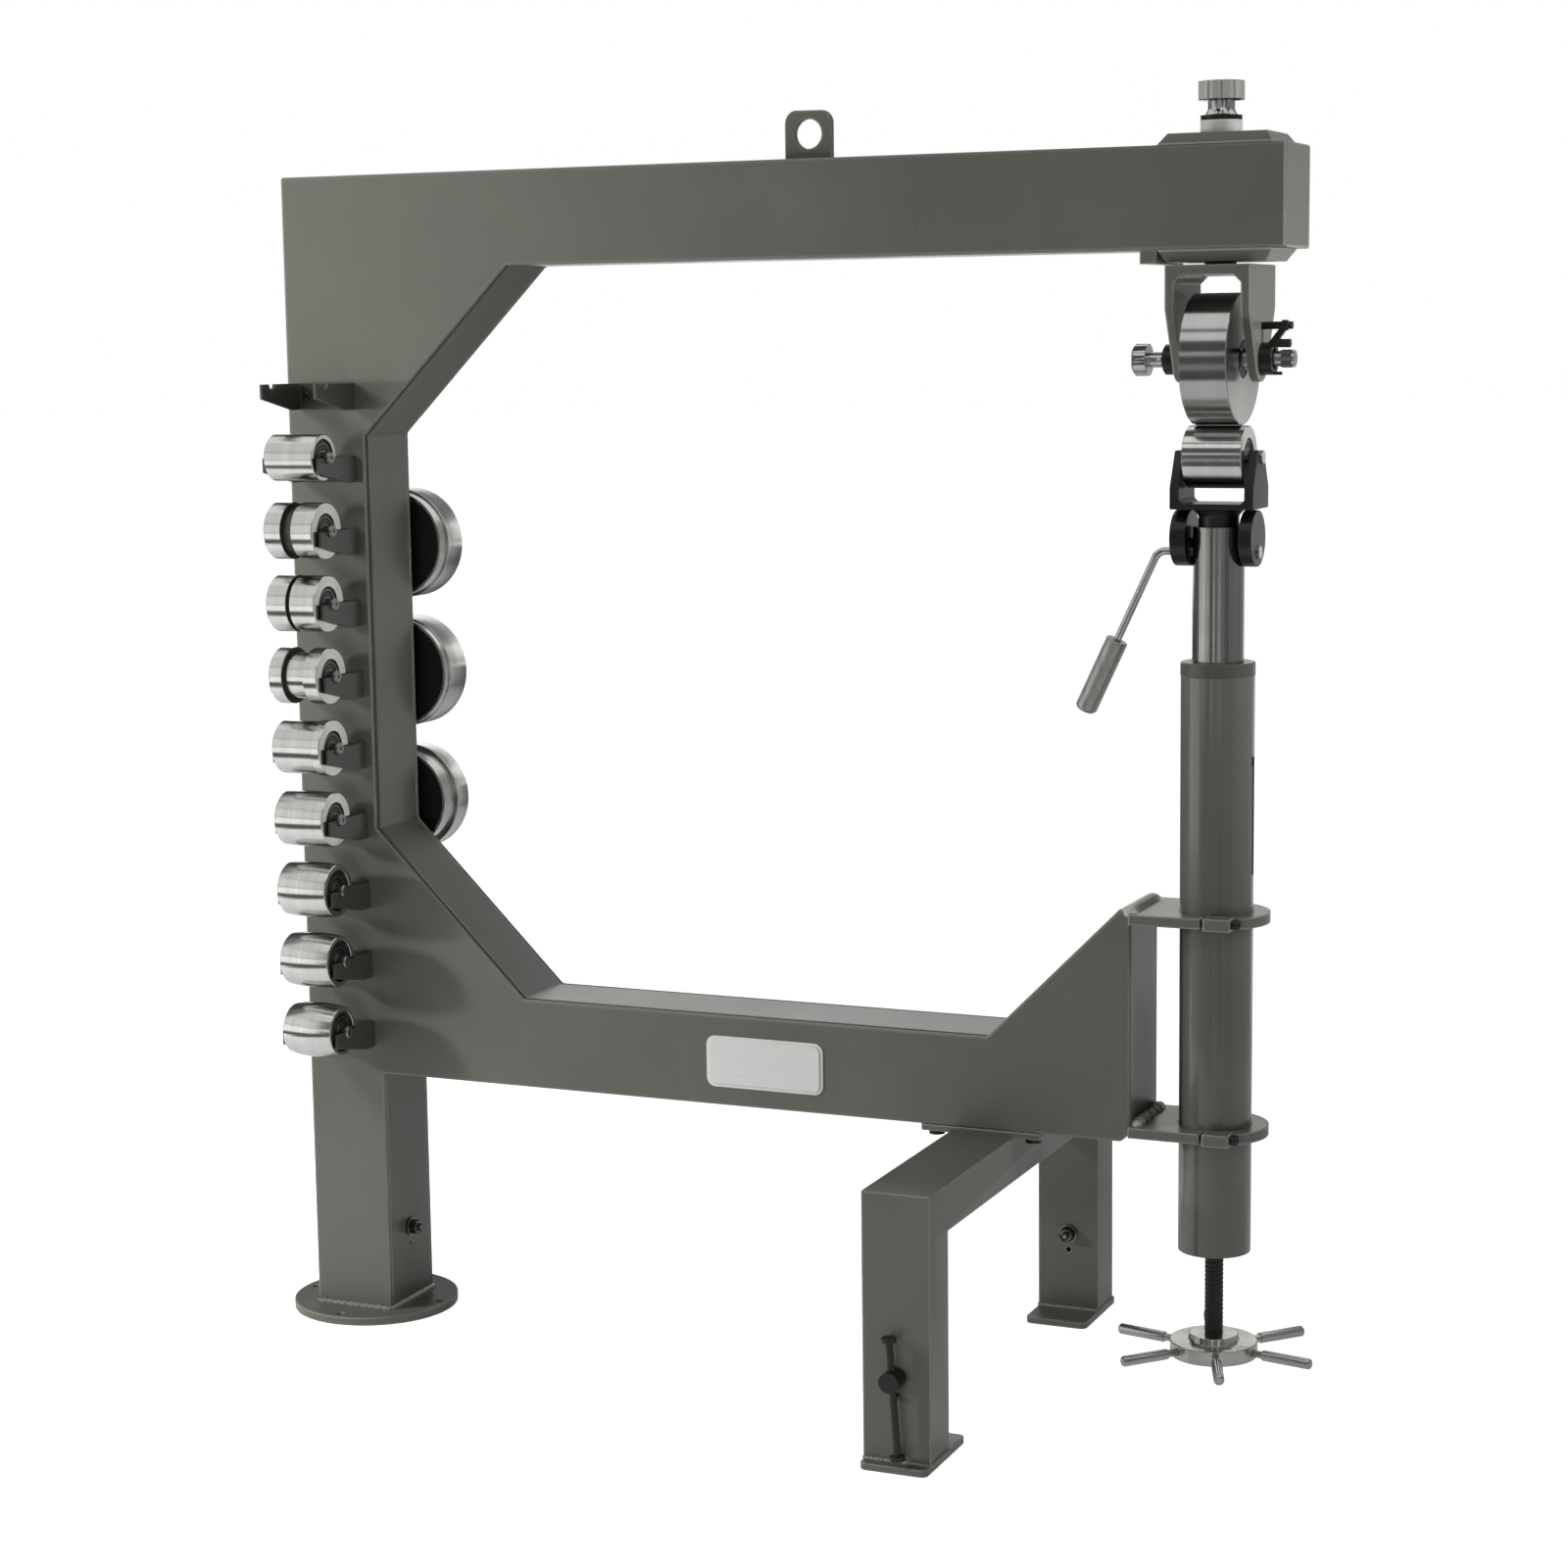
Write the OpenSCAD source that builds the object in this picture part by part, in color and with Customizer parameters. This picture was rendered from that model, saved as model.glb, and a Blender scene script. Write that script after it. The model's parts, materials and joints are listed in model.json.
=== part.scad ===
// English wheel: a welded C-shaped box frame holds a large upper wheel over a small lower
// anvil. An adjusting post with a kick wheel carries the anvil, a lever drops it quickly,
// and the column stores nine spare anvils and three spare upper wheels. Three casters come
// down out of the legs. The origin is on the floor at the middle of the rear base disc,
// +X runs along the throat to the wheels, and -Y is the front.

/* [Frame] */
// Throat depth, from the column to the wheel centre line
throat = 1016; // [960:1:1150]
// Width of the column and of the rear leg below it
column_w = 102; // [98:1:112]
// Front-to-back depth of the box frame
frame_d = 104; // [102:1:118]
// Height of the top of the frame above the floor
frame_top = 1368; // [1340:1:1480]
// Height of the upper beam
upper_beam_h = 107; // [90:1:125]
// Height of the lower beam
lower_beam_h = 105; // [80:1:130]
// Height of the lower beam's underside above the floor
beam_base = 304; // [290:1:330]
// Thickness of the two C-shaped side plates
side_t = 6; // [4:0.5:7]
// Thickness of the webs between the side plates
web_t = 8; // [5:0.5:10]
// Leg of the 45 degree corners of the throat
corner = 193; // [120:1:230]
// Height of the jaw's top above the lower beam's underside
jaw_h = 256; // [220:1:300]
// Distance from the jaw's end plate to the wheel centre line
jaw_back = 81.4; // [70:0.1:95]
// Length of the flat on top of the jaw
jaw_flat = 13; // [9:0.5:30]
// Distance from the wheel centre line to the end of the nose
nose_over = 82; // [75:1:95]

/* [Stand] */
// Diameter of the rear base disc
base_dia = 200; // [160:1:230]
// Thickness of the rear base disc
base_t = 10; // [6:0.5:16]
// Distance of the floor bolts from the base disc's edge
base_inset = 13; // [10:1:18]
// Diameter of the floor bolt holes
base_hole = 9; // [7:0.5:12]
// Distance from the wheel centre line back to the front legs
legs_back = 253; // [230:1:300]
// Width of the crossbeam and of the front legs
leg_w = 76; // [74:1:90]
// Width of a front leg across the machine
leg_d = 54; // [54:1:70]
// Wall of the crossbeam and of the front legs
leg_wall = 5; // [3:0.5:5]
// Height of the crossbeam
cross_h = 50; // [40:1:60]
// Length of the crossbeam over the legs
cross_len = 622; // [520:1:800]
// Length of a foot plate
foot_len = 120; // [80:1:160]
// How far the foot plate passes the leg's outer face
foot_over = 15; // [5:1:30]
// Thickness of a foot plate
foot_t = 8; // [5:0.5:12]
// Radius of the foot plates' corners
foot_corner = 8; // [3:1:12]
// Length of the saddle plate between the beam and the crossbeam
saddle_len = 140; // [130:1:180]
// Thickness of the saddle plate
saddle_t = 7; // [5:0.5:10]
// Distance of the saddle bolts from the legs' centre line
saddle_bolt_x = 57; // [50:1:62]
// Radius of the saddle bolts
saddle_bolt_r = 6; // [4:0.5:7]

/* [Wheels] */
// Diameter of the upper wheel
wheel_dia = 138; // [120:1:146]
// Width of the upper wheel
wheel_w = 51; // [40:1:60]
// Radius of the upper wheel's axle
wheel_axle_r = 8.25; // [6:0.25:10]
// Height of the upper axle below the nose
wheel_drop = 114; // [108:1:130]
// Diameter of the anvils
anvil_dia = 66; // [60:0.5:68]
// Diameter of the small first anvil in the rack
small_anvil_dia = 54; // [46:0.5:62]
// Width of the anvils
anvil_w = 65; // [60:0.5:69]
// Radius of the axle of the anvil in use
anvil_axle_r = 7; // [5:0.25:8]
// Gap between the two wheels in use
wheel_gap = 0.5; // [0.4:0.1:2]

/* [Upper yoke] */
// Outer width of both yokes
yoke_w = 91; // [88:1:94]
// Depth of the upper yoke
upper_yoke_d = 104; // [90:1:108]
// Thickness of the upper yoke's ears
upper_ear_t = 9.5; // [7:0.5:12]
// Thickness of the upper yoke's top plate
upper_top_t = 11; // [8:0.5:14]
// Radius of the round end of an upper ear
ear_end_r = 24; // [18:0.5:28]
// Height of the ear's straight sides above the axle
ear_straight = 53; // [40:1:70]
// Gap between the nose boss and the yoke
spindle_show = 3; // [2:0.5:6]
// Radius of the spindle that holds the upper yoke
spindle_r = 16.8; // [14:0.1:18]
// Thickness of the boss under the nose
under_boss_t = 13; // [10:0.5:18]
// Thickness of the bevelled boss on top of the nose
top_boss_t = 12; // [8:0.5:16]
// Wall of the sleeve between the two bosses
sleeve_wall = 8; // [5:0.5:12]

/* [Lower yoke] */
// Depth of the lower yoke
lower_yoke_d = 63; // [56:1:68]
// Thickness of the lower yoke's ears
lower_ear_t = 10; // [7:0.5:11]
// Thickness of the lower yoke's base
lower_base_t = 6; // [4:0.5:10]
// Depth from the anvil's axle to the underside of the lower yoke
yoke_rise = 54.5; // [50:0.5:60]
// Radius of the lower yoke's neck
neck_r = 21.5; // [19:0.25:22.5]
// Diameter of the two cam discs
cam_dia = 60; // [54:0.5:64]
// Offset of the cam discs from their shaft
cam_throw = 14.5; // [13.5:0.25:16]
// Drop of the lower yoke when the lever is thrown
quick_drop = 8; // [6:0.5:8.5]
// Radius of the cam shaft
cam_shaft_r = 7; // [5:0.25:8]

/* [Post and screw] */
// Outer diameter of the outer tube
tube_dia = 79; // [76:0.5:86]
// Length of the outer tube
tube_len = 632; // [560:1:650]
// Height of the tube's top above the jaw
tube_rise = 252; // [220:1:255]
// Height of the cap ring on the tube
cap_h = 15; // [8:0.5:20]
// Outer diameter of the inner post
post_dia = 55; // [50:0.5:58]
// Length of the inner post
post_len = 551; // [500:1:600]
// Travel that the keyway in the post allows
post_travel = 100; // [60:1:110]
// Radius of the lifting screw
screw_r = 9.8; // [8:0.1:12]
// Thickness of the clamp plates that hold the tube
clamp_t = 11.5; // [8:0.5:16]
// Radius of the clamps' round end
clamp_r = 58; // [54:0.5:62]
// Diameter of the kick wheel's disc
kick_dia = 96; // [80:1:120]
// Reach of the kick wheel's spokes
kick_reach = 117.5; // [100:0.5:140]
// Height of the kick wheel's spokes above the floor
kick_z = 69; // [50:1:80]
// Number of spokes
kick_spokes = 6; // [3:1:8]

/* [Storage] */
// Number of anvil brackets on the column
rack_count = 10; // [10:1:11]
// Distance from one bracket to the next
rack_pitch = 84.6; // [80:0.1:88]
// Height of the lowest stored anvil
rack_z = 368; // [340:1:400]
// Distance of the stored axles in front of the column
rack_out = 63; // [56:0.5:70]
// Shift of the rack from the column's middle
rack_shift = 2.5; // [0:0.5:5]
// Radius of the stored anvils' axles
rack_axle_r = 6; // [4:0.25:7]
// Height of the lowest stored wheel
store_z = 622; // [560:1:640]
// Distance from one stored wheel to the next
store_pitch = 156; // [146:1:170]

/* [Casters] */
// Diameter of a caster wheel
caster_dia = 60; // [50:1:62]
// Height of the caster shafts above the floor
caster_z = 101; // [100:1:112]
// Drop of a caster
caster_drop = 20; // [10:1:20]
// Length of the cross bar in a caster shaft's head
bar_len = 132; // [100:1:135]

/* [Hidden] */
$fn = 64;
run_gap = 0.08;      // radial clearance of a running fit
slide_gap = 0.1;     // radial clearance of a sliding fit
free_gap = 0.5;      // side clearance between pieces that move past each other
lock_gap = 0.3;      // gap between turning faces
eps = 0.01;          // overlap of a cut past a face

// Frame lines
col_x = column_w / 2;
axis_x = col_x + throat;
jaw_x = axis_x - jaw_back;
nose_x = axis_x + nose_over;
beam_top = beam_base + lower_beam_h;
jaw_top = beam_base + jaw_h;
nose_z = frame_top - upper_beam_h;
side_y = frame_d / 2;
web_y = side_y - side_t;
jaw_bevel = 10;      // bevel at the foot of the jaw's end plate
jaw_notch = 7;       // bevel at the top of the jaw's end plate
eye_place = 521.5;   // distance of the lifting eye from the column
plate_place = 430;   // distance of the name plate from the column
legs_x = axis_x - legs_back;
saddle_z = beam_base - saddle_t;
cross_z = saddle_z - cross_h;

// The two wheels in use
wheel_r = wheel_dia / 2;
anvil_r = anvil_dia / 2;
wheel_z = nose_z - wheel_drop;
anvil_z = wheel_z - wheel_r - wheel_gap - anvil_r;

// Spindle and upper yoke
yoke_x = yoke_w / 2;
yoke_top_z = nose_z - under_boss_t - spindle_show;
boss_back = 46;      // reach of the nose bosses towards the column
boss_front = 69;     // reach of the nose bosses towards the nose's end
boss_y = 50;         // half depth of the nose bosses
boss_bevel = 9;      // bevel of the bosses' edges
stop_w = 18;         // width of the stop block beside the under-nose boss
stop_h = 14.5;       // height of the stop block
collar_h = 14;       // height of the light collar on the boss
collar_r = 22;       // radius of the light collar
collar_z = frame_top + top_boss_t;
knob_z = collar_z + collar_h + lock_gap;
stud_r = 10;         // stud that the draw knob turns on
stud_h = 34;         // length of the stud above the collar
axle_boss_len = 14.7; // length of the black boss on the left ear

// Lower yoke, cams and post
yoke_base_z = anvil_z - yoke_rise;
cam_r = cam_dia / 2;
post_over = 26.8;    // height of the post's top above the cam shaft
cam_gap = 1.3;       // gap between the cams and the yoke at rest
cam_z = yoke_base_z - cam_gap - cam_r - cam_throw;
post_r = post_dia / 2;
post_top = cam_z + post_over;
post_z = post_top - post_len;
post_bore_r = neck_r + slide_gap;
neck_z = cam_z + cam_shaft_r + quick_drop + 3;
cone_h = 7.5;        // height of the cone under the lower yoke
cone_r = 28;         // radius of that cone at the top
cam_in = post_r + 1.5;
cam_right_t = 14;    // thickness of the right cam disc
cam_left_t = 17;     // thickness of the left cam disc
lever_r = 4.35;      // radius of the lever's rod
lever_bend = 14;     // radius of the bend in that rod
lever_stub = -66.5;  // place of the lever's elbow, from the wheel centre line
lever_run = 82.5;    // how far the lever leans out
lever_fall = 175;    // how far the lever drops
lever_len = norm([lever_run, lever_fall]);
lever_lean = atan2(lever_run, lever_fall);
grip_len = 86;       // length of the lever's grip
grip_r = 12.2;       // radius of the lever's grip

// Tube and screw
tube_r = tube_dia / 2;
tube_top = jaw_top + tube_rise;
tube_z = tube_top - tube_len;
tube_bore_r = post_r + slide_gap;
clamp_top_z = jaw_top - 3;
clamp_low_z = beam_base + 18;
clamp_slot = 4;      // split in a clamp
clamp_lug = 31;      // reach of a clamp's lug past the split
clamp_bolt_in = 8.5; // distance of a clamp bolt from the clamp's edge
clamp_bolt_y = clamp_bolt_in - clamp_r;
clamp_bolt_r = 3;    // radius of a clamp bolt
clamp_head_r = 5;    // radius of a clamp bolt's head
clamp_head_h = 8;    // height of that head
nut_h = 40;          // length of the nut in the post's foot
bearing_h = 30;      // length of the bearing in the tube's foot
bearing_z = tube_z + 2;
key_w = 10;          // width of the guide key
key_rise = 155;      // height of the guide key's top above the jaw
key_top = jaw_top + key_rise;
key_len = 117;       // length of the guide key
key_depth = 2.9;     // depth of the post's keyway
key_gap = 0.3;       // room between the key and its keyway
key_room = 11;       // length of the slot above the key
screw_top = post_z + nut_h + 20;
screw_end_r = screw_r * 0.7;
kick_disc_t = 17;    // thickness of the kick wheel's disc
kick_hub_r = 27.2;   // radius of the kick wheel's hub
kick_hub_top = kick_z + 16;
kick_phase = 18.6;   // angle of the first spoke
spoke_r = 6;         // radius of a spoke
spoke_root_r = 4.2;  // radius of a spoke's root

// Rack
rack_y = -side_y - rack_out;
ear_t = 4;           // thickness of the rack's ears
ear_gap = 1.5;       // gap between an anvil and an ear
ear_reach = 84;      // reach of an ear in front of the column
ear_root = 20;       // reach at which an ear has its full height
ear_base_h = 31;     // height of an ear at the column
ear_tip_h = 17;      // height of an ear at its tip
rack_in = anvil_w / 2 + ear_gap;
rack_plate_t = 3.5;  // thickness of a bracket's base plate
SPARE_ANVILS = 9;
SPARE_WHEELS = 3;
peg_r = 12;          // radius of the pegs that carry the spare wheels
peg_foot = 6;        // how much wider a peg is at the column
spare_out = 6;       // distance of the spare wheels behind the column
spare_shift = 24;    // shift of the spare wheels towards the throat

// Casters: place and turn of each unit, its half width to the outer faces and its wall
shaft_r = 8;         // radius of a caster shaft
crank = caster_drop / 2;
pin_r = 6;           // radius of the crank pin
crank_web_r = crank + pin_r + 1;
slot_gap = 2.6;      // room for the crank pin above and below in the fork
CASTERS = [
    [legs_x, -cross_len / 2 + leg_d / 2, 0, leg_d / 2, leg_wall, leg_w / 2 - leg_wall, 0],
    [legs_x, cross_len / 2 - leg_d / 2, 180, leg_d / 2, leg_wall, leg_w / 2 - leg_wall, 0],
    [0, 0, -90, col_x, web_t, web_y, 90]
];
caster_r = caster_dia / 2;
caster_w = 28;       // width of a caster wheel
caster_lift = 1;     // height of the raised wheels above the floor
caster_axle_z = caster_r + caster_lift;
caster_axle_r = 4;   // radius of a caster wheel's axle
caster_hole = [leg_w - 2 * leg_wall, leg_d - 2 * leg_wall];
arm_t = 4;           // thickness of a fork's arms
crown_t = 8;         // thickness of a fork's crown
crown_z = caster_axle_z + caster_r + 5;
tongue_t = 10;       // thickness of a fork's tongue
head_r = 11;         // radius of a caster shaft's head
head_len = 22;       // length of that head
bar_r = 3.75;        // radius of the cross bar
bar_low = 20;        // how far the cross bar hangs below its head's middle
bar_tilt = 4;        // lean of the cross bar
stop_below = 20;     // distance of a caster's stop below its shaft
stop_r = 3;          // radius of that stop
stop_out = 5;        // how far that stop stands out

PAINT = "#5a5d55";
BLACK = "#1d1e1b";
STEEL = "#b9bab8";
LIGHT = "#a3a49f";

// Points of the C-shaped outline, anticlockwise from the rear leg's foot
OUTLINE = [
    [-col_x, base_t],
    [col_x, base_t],
    [col_x, beam_base],
    [jaw_x - jaw_bevel, beam_base],
    [jaw_x, beam_base + jaw_bevel],
    [jaw_x, jaw_top - jaw_notch],
    [jaw_x - jaw_notch, jaw_top],
    [jaw_x - jaw_flat, jaw_top],
    [jaw_x - jaw_flat - (jaw_top - beam_top), beam_top],
    [col_x + corner, beam_top],
    [col_x, beam_top + corner],
    [col_x, nose_z - corner],
    [col_x + corner, nose_z],
    [nose_x, nose_z],
    [nose_x, frame_top],
    [-col_x, frame_top]
];
LAST = len(OUTLINE) - 1;
NOSE_CORNER = 13;
JAW_CORNER = 7;

function inward(a, b) = let (u = (b - a) / norm(b - a)) [-u[1], u[0]];
function mitre(a, b, c, t) =
    let (m = inward(a, b), n = inward(b, c)) b + (m + n) * t / (1 + m * n);
function outline_at(i) = OUTLINE[(i + LAST + 1) % (LAST + 1)];
function web_inner(i) =
    i == 0 ? [web_t - col_x, base_t] :
    i == 1 ? [col_x - web_t, base_t] :
    mitre(outline_at(i - 1), outline_at(i), outline_at(i + 1), web_t);

// Extrudes an XZ outline along Y, from y0 to y1
module along_y(y0, y1) {
    translate([0, y1, 0]) rotate([90, 0, 0]) linear_extrude(y1 - y0) children();
}

// Extrudes a YZ outline along X, from x0 to x1
module along_x(x0, x1) {
    translate([x0, 0, 0]) rotate([90, 0, 90]) linear_extrude(x1 - x0) children();
}

module rod_x(x0, x1, r) {
    translate([x0, 0, 0]) rotate([0, 90, 0]) cylinder(h = x1 - x0, r = r);
}

module rod_y(y0, y1, r) {
    translate([0, y1, 0]) rotate([90, 0, 0]) cylinder(h = y1 - y0, r = r);
}

module rod_z(z0, z1, r) {
    translate([0, 0, z0]) cylinder(h = z1 - z0, r = r);
}

module block(x, y, z) {
    translate([x[0], y[0], z[0]]) cube([x[1] - x[0], y[1] - y[0], z[1] - z[0]]);
}

module at_axis() {
    translate([axis_x, 0, 0]) children();
}

module web_strip(first, last) {
    count = last - first;
    outer = [for (i = [0:count]) outline_at(first + i)];
    inner = [for (i = [0:count]) web_inner((last - i) % (LAST + 1))];
    along_y(-web_y, web_y) polygon(concat(outer, inner));
}

module side_plate() {
    along_y(0, side_t) polygon(OUTLINE);
}

module front_plate() {
    color(PAINT) translate([0, -side_y, 0]) side_plate();
}

module rear_plate() {
    color(PAINT) translate([0, web_y, 0]) side_plate();
}

module sleeve_hole() {
    at_axis() rod_z(nose_z - eps, frame_top + eps, spindle_r + sleeve_wall);
}

module throat_web() {
    color(PAINT) difference() {
        web_strip(JAW_CORNER, NOSE_CORNER);
        sleeve_hole();
    }
}

module outer_web() {
    color(PAINT) difference() {
        union() {
            web_strip(NOSE_CORNER, LAST + 1);
            web_strip(1, JAW_CORNER);
        }
        sleeve_hole();
        saddle_bolt_places() rod_z(beam_base - eps, beam_base + web_t + eps, saddle_bolt_r);
        caster_at(2) caster_wall_holes(2);
    }
}

module lifting_eye() {
    eye_w = 55;
    eye_t = 10;
    eye_x = col_x + eye_place;
    eye_corner = 14;
    eye_hole_r = 16.2;
    eye_hole_z = 29;
    color(PAINT) translate([eye_x, 0, frame_top]) difference() {
        along_y(-eye_t / 2, eye_t / 2) polygon([
            [0, 0], [eye_w, 0], [eye_w, eye_w - eye_corner],
            for (a = [10:20:80])
                [eye_w - eye_corner * (1 - cos(a)), eye_w - eye_corner * (1 - sin(a))],
            for (a = [10:20:80])
                [eye_corner * (1 - sin(a)), eye_w - eye_corner * (1 - cos(a))],
            [0, eye_w - eye_corner]
        ]);
        translate([eye_w / 2, 0, eye_hole_z]) rod_y(-eye_t, eye_t, eye_hole_r);
    }
}

module name_plate() {
    plate_w = 145;
    plate_h = 60;
    plate_low = 2;
    plate_back = 1.4;
    plate_front = 3;
    rim = 4;
    plate_x = col_x + plate_place;
    plate_z = beam_base + (lower_beam_h - plate_h - plate_low) / 2;
    round_r = 11;
    module pill(grow) {
        translate([plate_x, plate_z]) polygon([
            for (k = [0:3], a = [0:15:90]) let (
                cx = (k == 0 || k == 3) ? plate_w - round_r : round_r,
                cz = (k < 2) ? plate_h - round_r : round_r
            ) [cx + (round_r + grow) * cos(a + 90 * k), cz + (round_r + grow) * sin(a + 90 * k)]
        ]);
    }
    color(LIGHT) union() {
        along_y(-side_y - plate_back, -side_y) pill(0);
        along_y(-side_y - plate_front, -side_y) pill(-rim);
    }
}

// A boss plate on the nose: wide at z0, bevelled towards z1
module boss_plate(z0, z1) {
    bevel = boss_bevel;
    intersection() {
        along_y(-boss_y, boss_y) polygon([
            [-boss_back - bevel, z0], [-boss_back, z1], [boss_front - bevel, z1], [boss_front, z0]
        ]);
        along_x(-boss_back - bevel, boss_front) polygon([
            [-boss_y, z0], [-boss_y + bevel, z1], [boss_y - bevel, z1], [boss_y, z0]
        ]);
    }
}

module nose_bosses() {
    under_z = nose_z - under_boss_t;
    color(PAINT) at_axis() {
        difference() {
            union() {
                boss_plate(frame_top, collar_z);
                rod_z(nose_z, frame_top, spindle_r + sleeve_wall);
                boss_plate(nose_z, under_z);
            }
            rod_z(under_z - eps, collar_z + eps, spindle_r + run_gap);
        }
        block([-boss_back - boss_bevel - stop_w, -boss_back - boss_bevel], [-boss_y, boss_y],
              [nose_z - stop_h, nose_z]);
    }
}

module top_collar() {
    color(LIGHT) at_axis() difference() {
        rod_z(collar_z, collar_z + collar_h, collar_r);
        rod_z(collar_z - eps, collar_z + collar_h + eps, spindle_r + run_gap);
    }
}

module base_plate() {
    color(PAINT) difference() {
        rod_z(0, base_t, base_dia / 2);
        for (a = [0:90:270]) rotate(a) translate([base_dia / 2 - base_inset, 0, 0])
            rod_z(-eps, base_t + eps, base_hole / 2);
        caster_opening(base_t);
    }
}

module saddle_bolt_places() {
    for (x = [-1, 1], y = [-1, 1])
        translate([legs_x + x * saddle_bolt_x, y * (side_y - 15), 0]) children();
}

module saddle_plate() {
    color(PAINT) difference() {
        block([legs_x - saddle_len / 2, legs_x + saddle_len / 2], [-side_y, side_y],
              [saddle_z, beam_base]);
        saddle_bolt_places() rod_z(saddle_z - eps, beam_base + eps, saddle_bolt_r);
    }
}

module crossbeam() {
    cap_t = 5;
    half = cross_len / 2;
    color(PAINT) translate([legs_x, 0, cross_z]) {
        difference() {
            block([-leg_w / 2, leg_w / 2], [cap_t - half, half - cap_t], [0, cross_h]);
            block([leg_wall - leg_w / 2, leg_w / 2 - leg_wall], [-half, half],
                  [leg_wall, cross_h - leg_wall]);
        }
        for (y = [-half, half - cap_t])
            block([-leg_w / 2, leg_w / 2], [y, y + cap_t], [0, cross_h]);
    }
}

module front_legs() {
    for (i = [0, 1]) color(PAINT) caster_at(i) difference() {
        block([-leg_w / 2, leg_w / 2], [-leg_d / 2, leg_d / 2], [foot_t, cross_z]);
        block([leg_wall - leg_w / 2, leg_w / 2 - leg_wall],
              [leg_wall - leg_d / 2, leg_d / 2 - leg_wall], [0, cross_z + eps]);
        caster_wall_holes(i);
    }
}

module caster_opening(t) {
    block([-caster_hole[0] / 2, caster_hole[0] / 2], [-caster_hole[1] / 2, caster_hole[1] / 2],
          [-eps, t + eps]);
}

module rounded_plate(x, y, z, corner) {
    block(x, [y[0] + corner, y[1] - corner], z);
    block([x[0] + corner, x[1] - corner], y, z);
    for (cx = [x[0] + corner, x[1] - corner])
        for (cy = [y[0] + corner, y[1] - corner])
            translate([cx, cy, 0]) rod_z(z[0], z[1], corner);
}

module foot_plates() {
    for (i = [0, 1]) color(PAINT) caster_at(i) difference() {
        rounded_plate([-leg_w / 2, leg_w / 2],
                      [-leg_d / 2 - foot_over, foot_len - leg_d / 2 - foot_over],
                      [0, foot_t], foot_corner);
        caster_opening(foot_t);
    }
}

// Saddle bolts, clamp bolts and the small stops beside the caster heads
module frame_bolts() {
    head_h = 6;
    socket_r = 2.9;
    color(BLACK) {
        saddle_bolt_places() {
            rod_z(saddle_z, beam_base + web_t, saddle_bolt_r);
            rod_z(saddle_z - head_h, saddle_z, saddle_bolt_r * 1.5);
        }
        for (z = [clamp_top_z, clamp_low_z]) at_axis() translate([0, clamp_bolt_y, z - clamp_t / 2])
            difference() {
                union() {
                    rod_x(-clamp_slot, clamp_lug, clamp_bolt_r);
                    rod_x(clamp_lug, clamp_lug + clamp_head_h, clamp_head_r);
                }
                translate([clamp_lug + clamp_head_h / 2, 0, 0])
                    rotate([0, 90, 0])
                    cylinder(h = clamp_head_h, r = socket_r, $fn = 6);
            }
        for (i = [0:2]) caster_at(i) translate([0, 0, caster_z - stop_below])
            rod_y(-CASTERS[i][3] - stop_out, -CASTERS[i][3], stop_r);
    }
}

module rack_brackets() {
    for (k = [0:rack_count - 1]) color(BLACK)
        translate([rack_shift, -side_y, rack_z + k * rack_pitch]) {
            block([-rack_in - ear_t, rack_in + ear_t], [-rack_plate_t, 0], [-ear_base_h, 0]);
            for (x = [-rack_in - ear_t, rack_in]) difference() {
                along_x(x, x + ear_t) polygon([
                    [-rack_plate_t, 0], [-ear_reach, 0], [-ear_reach, -ear_tip_h],
                    [-ear_root, -ear_base_h], [-rack_plate_t, -ear_base_h]
                ]);
                translate([0, -rack_out, 0]) rod_x(x - eps, x + ear_t + eps, rack_axle_r);
            }
        }
}

module storage_axles() {
    axle_half = rack_in + ear_t + 4;
    color(STEEL) {
        for (k = [0:SPARE_ANVILS - 1])
            translate([rack_shift, rack_y, rack_z + k * rack_pitch])
                rod_x(-axle_half, axle_half, rack_axle_r);
        for (k = [0:SPARE_WHEELS - 1])
            translate([spare_shift, side_y, store_z + k * store_pitch]) {
                rod_y(0, spare_out - free_gap, peg_r + peg_foot);
                rod_y(spare_out - free_gap, spare_out + wheel_w + 5, peg_r);
            }
    }
}

module outer_tube() {
    color(PAINT) at_axis() difference() {
        rod_z(tube_z, tube_top, tube_r);
        rod_z(tube_z - eps, tube_top + eps, tube_bore_r);
        block([0, tube_r + 1], [-key_w / 2, key_w / 2],
              [key_top - key_len, key_top + key_room]);
    }
}

module tube_cap() {
    cap_over = 0.5;
    color(PAINT) at_axis() difference() {
        rod_z(tube_top, tube_top + cap_h, tube_r + cap_over);
        rod_z(tube_top - eps, tube_top + cap_h + eps, tube_bore_r);
    }
}

module clamp_plate() {
    lug_in = 41;
    lug_over = 3;
    pocket = 15;
    difference() {
        union() {
            rod_z(-clamp_t, 0, clamp_r);
            block([-jaw_back, 0], [-clamp_r, clamp_r], [-clamp_t, 0]);
            block([0, clamp_lug], [-clamp_r - lug_over, -lug_in], [-clamp_t - 1, 1]);
        }
        rod_z(-2 * clamp_t, clamp_t, tube_r);
        block([-clamp_slot / 2, clamp_slot / 2], [-clamp_r - lug_over - 1, 0],
              [-2 * clamp_t, clamp_t]);
        block([clamp_lug, clamp_lug + pocket], [-clamp_r, clamp_bolt_y + clamp_head_r + 1],
              [-2 * clamp_t, clamp_t]);
        translate([0, clamp_bolt_y, -clamp_t / 2]) rod_x(-clamp_slot, clamp_lug + 1, clamp_bolt_r);
    }
}

module post_clamps() {
    color(PAINT) for (z = [clamp_top_z, clamp_low_z]) at_axis() translate([0, 0, z]) clamp_plate();
}

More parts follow.
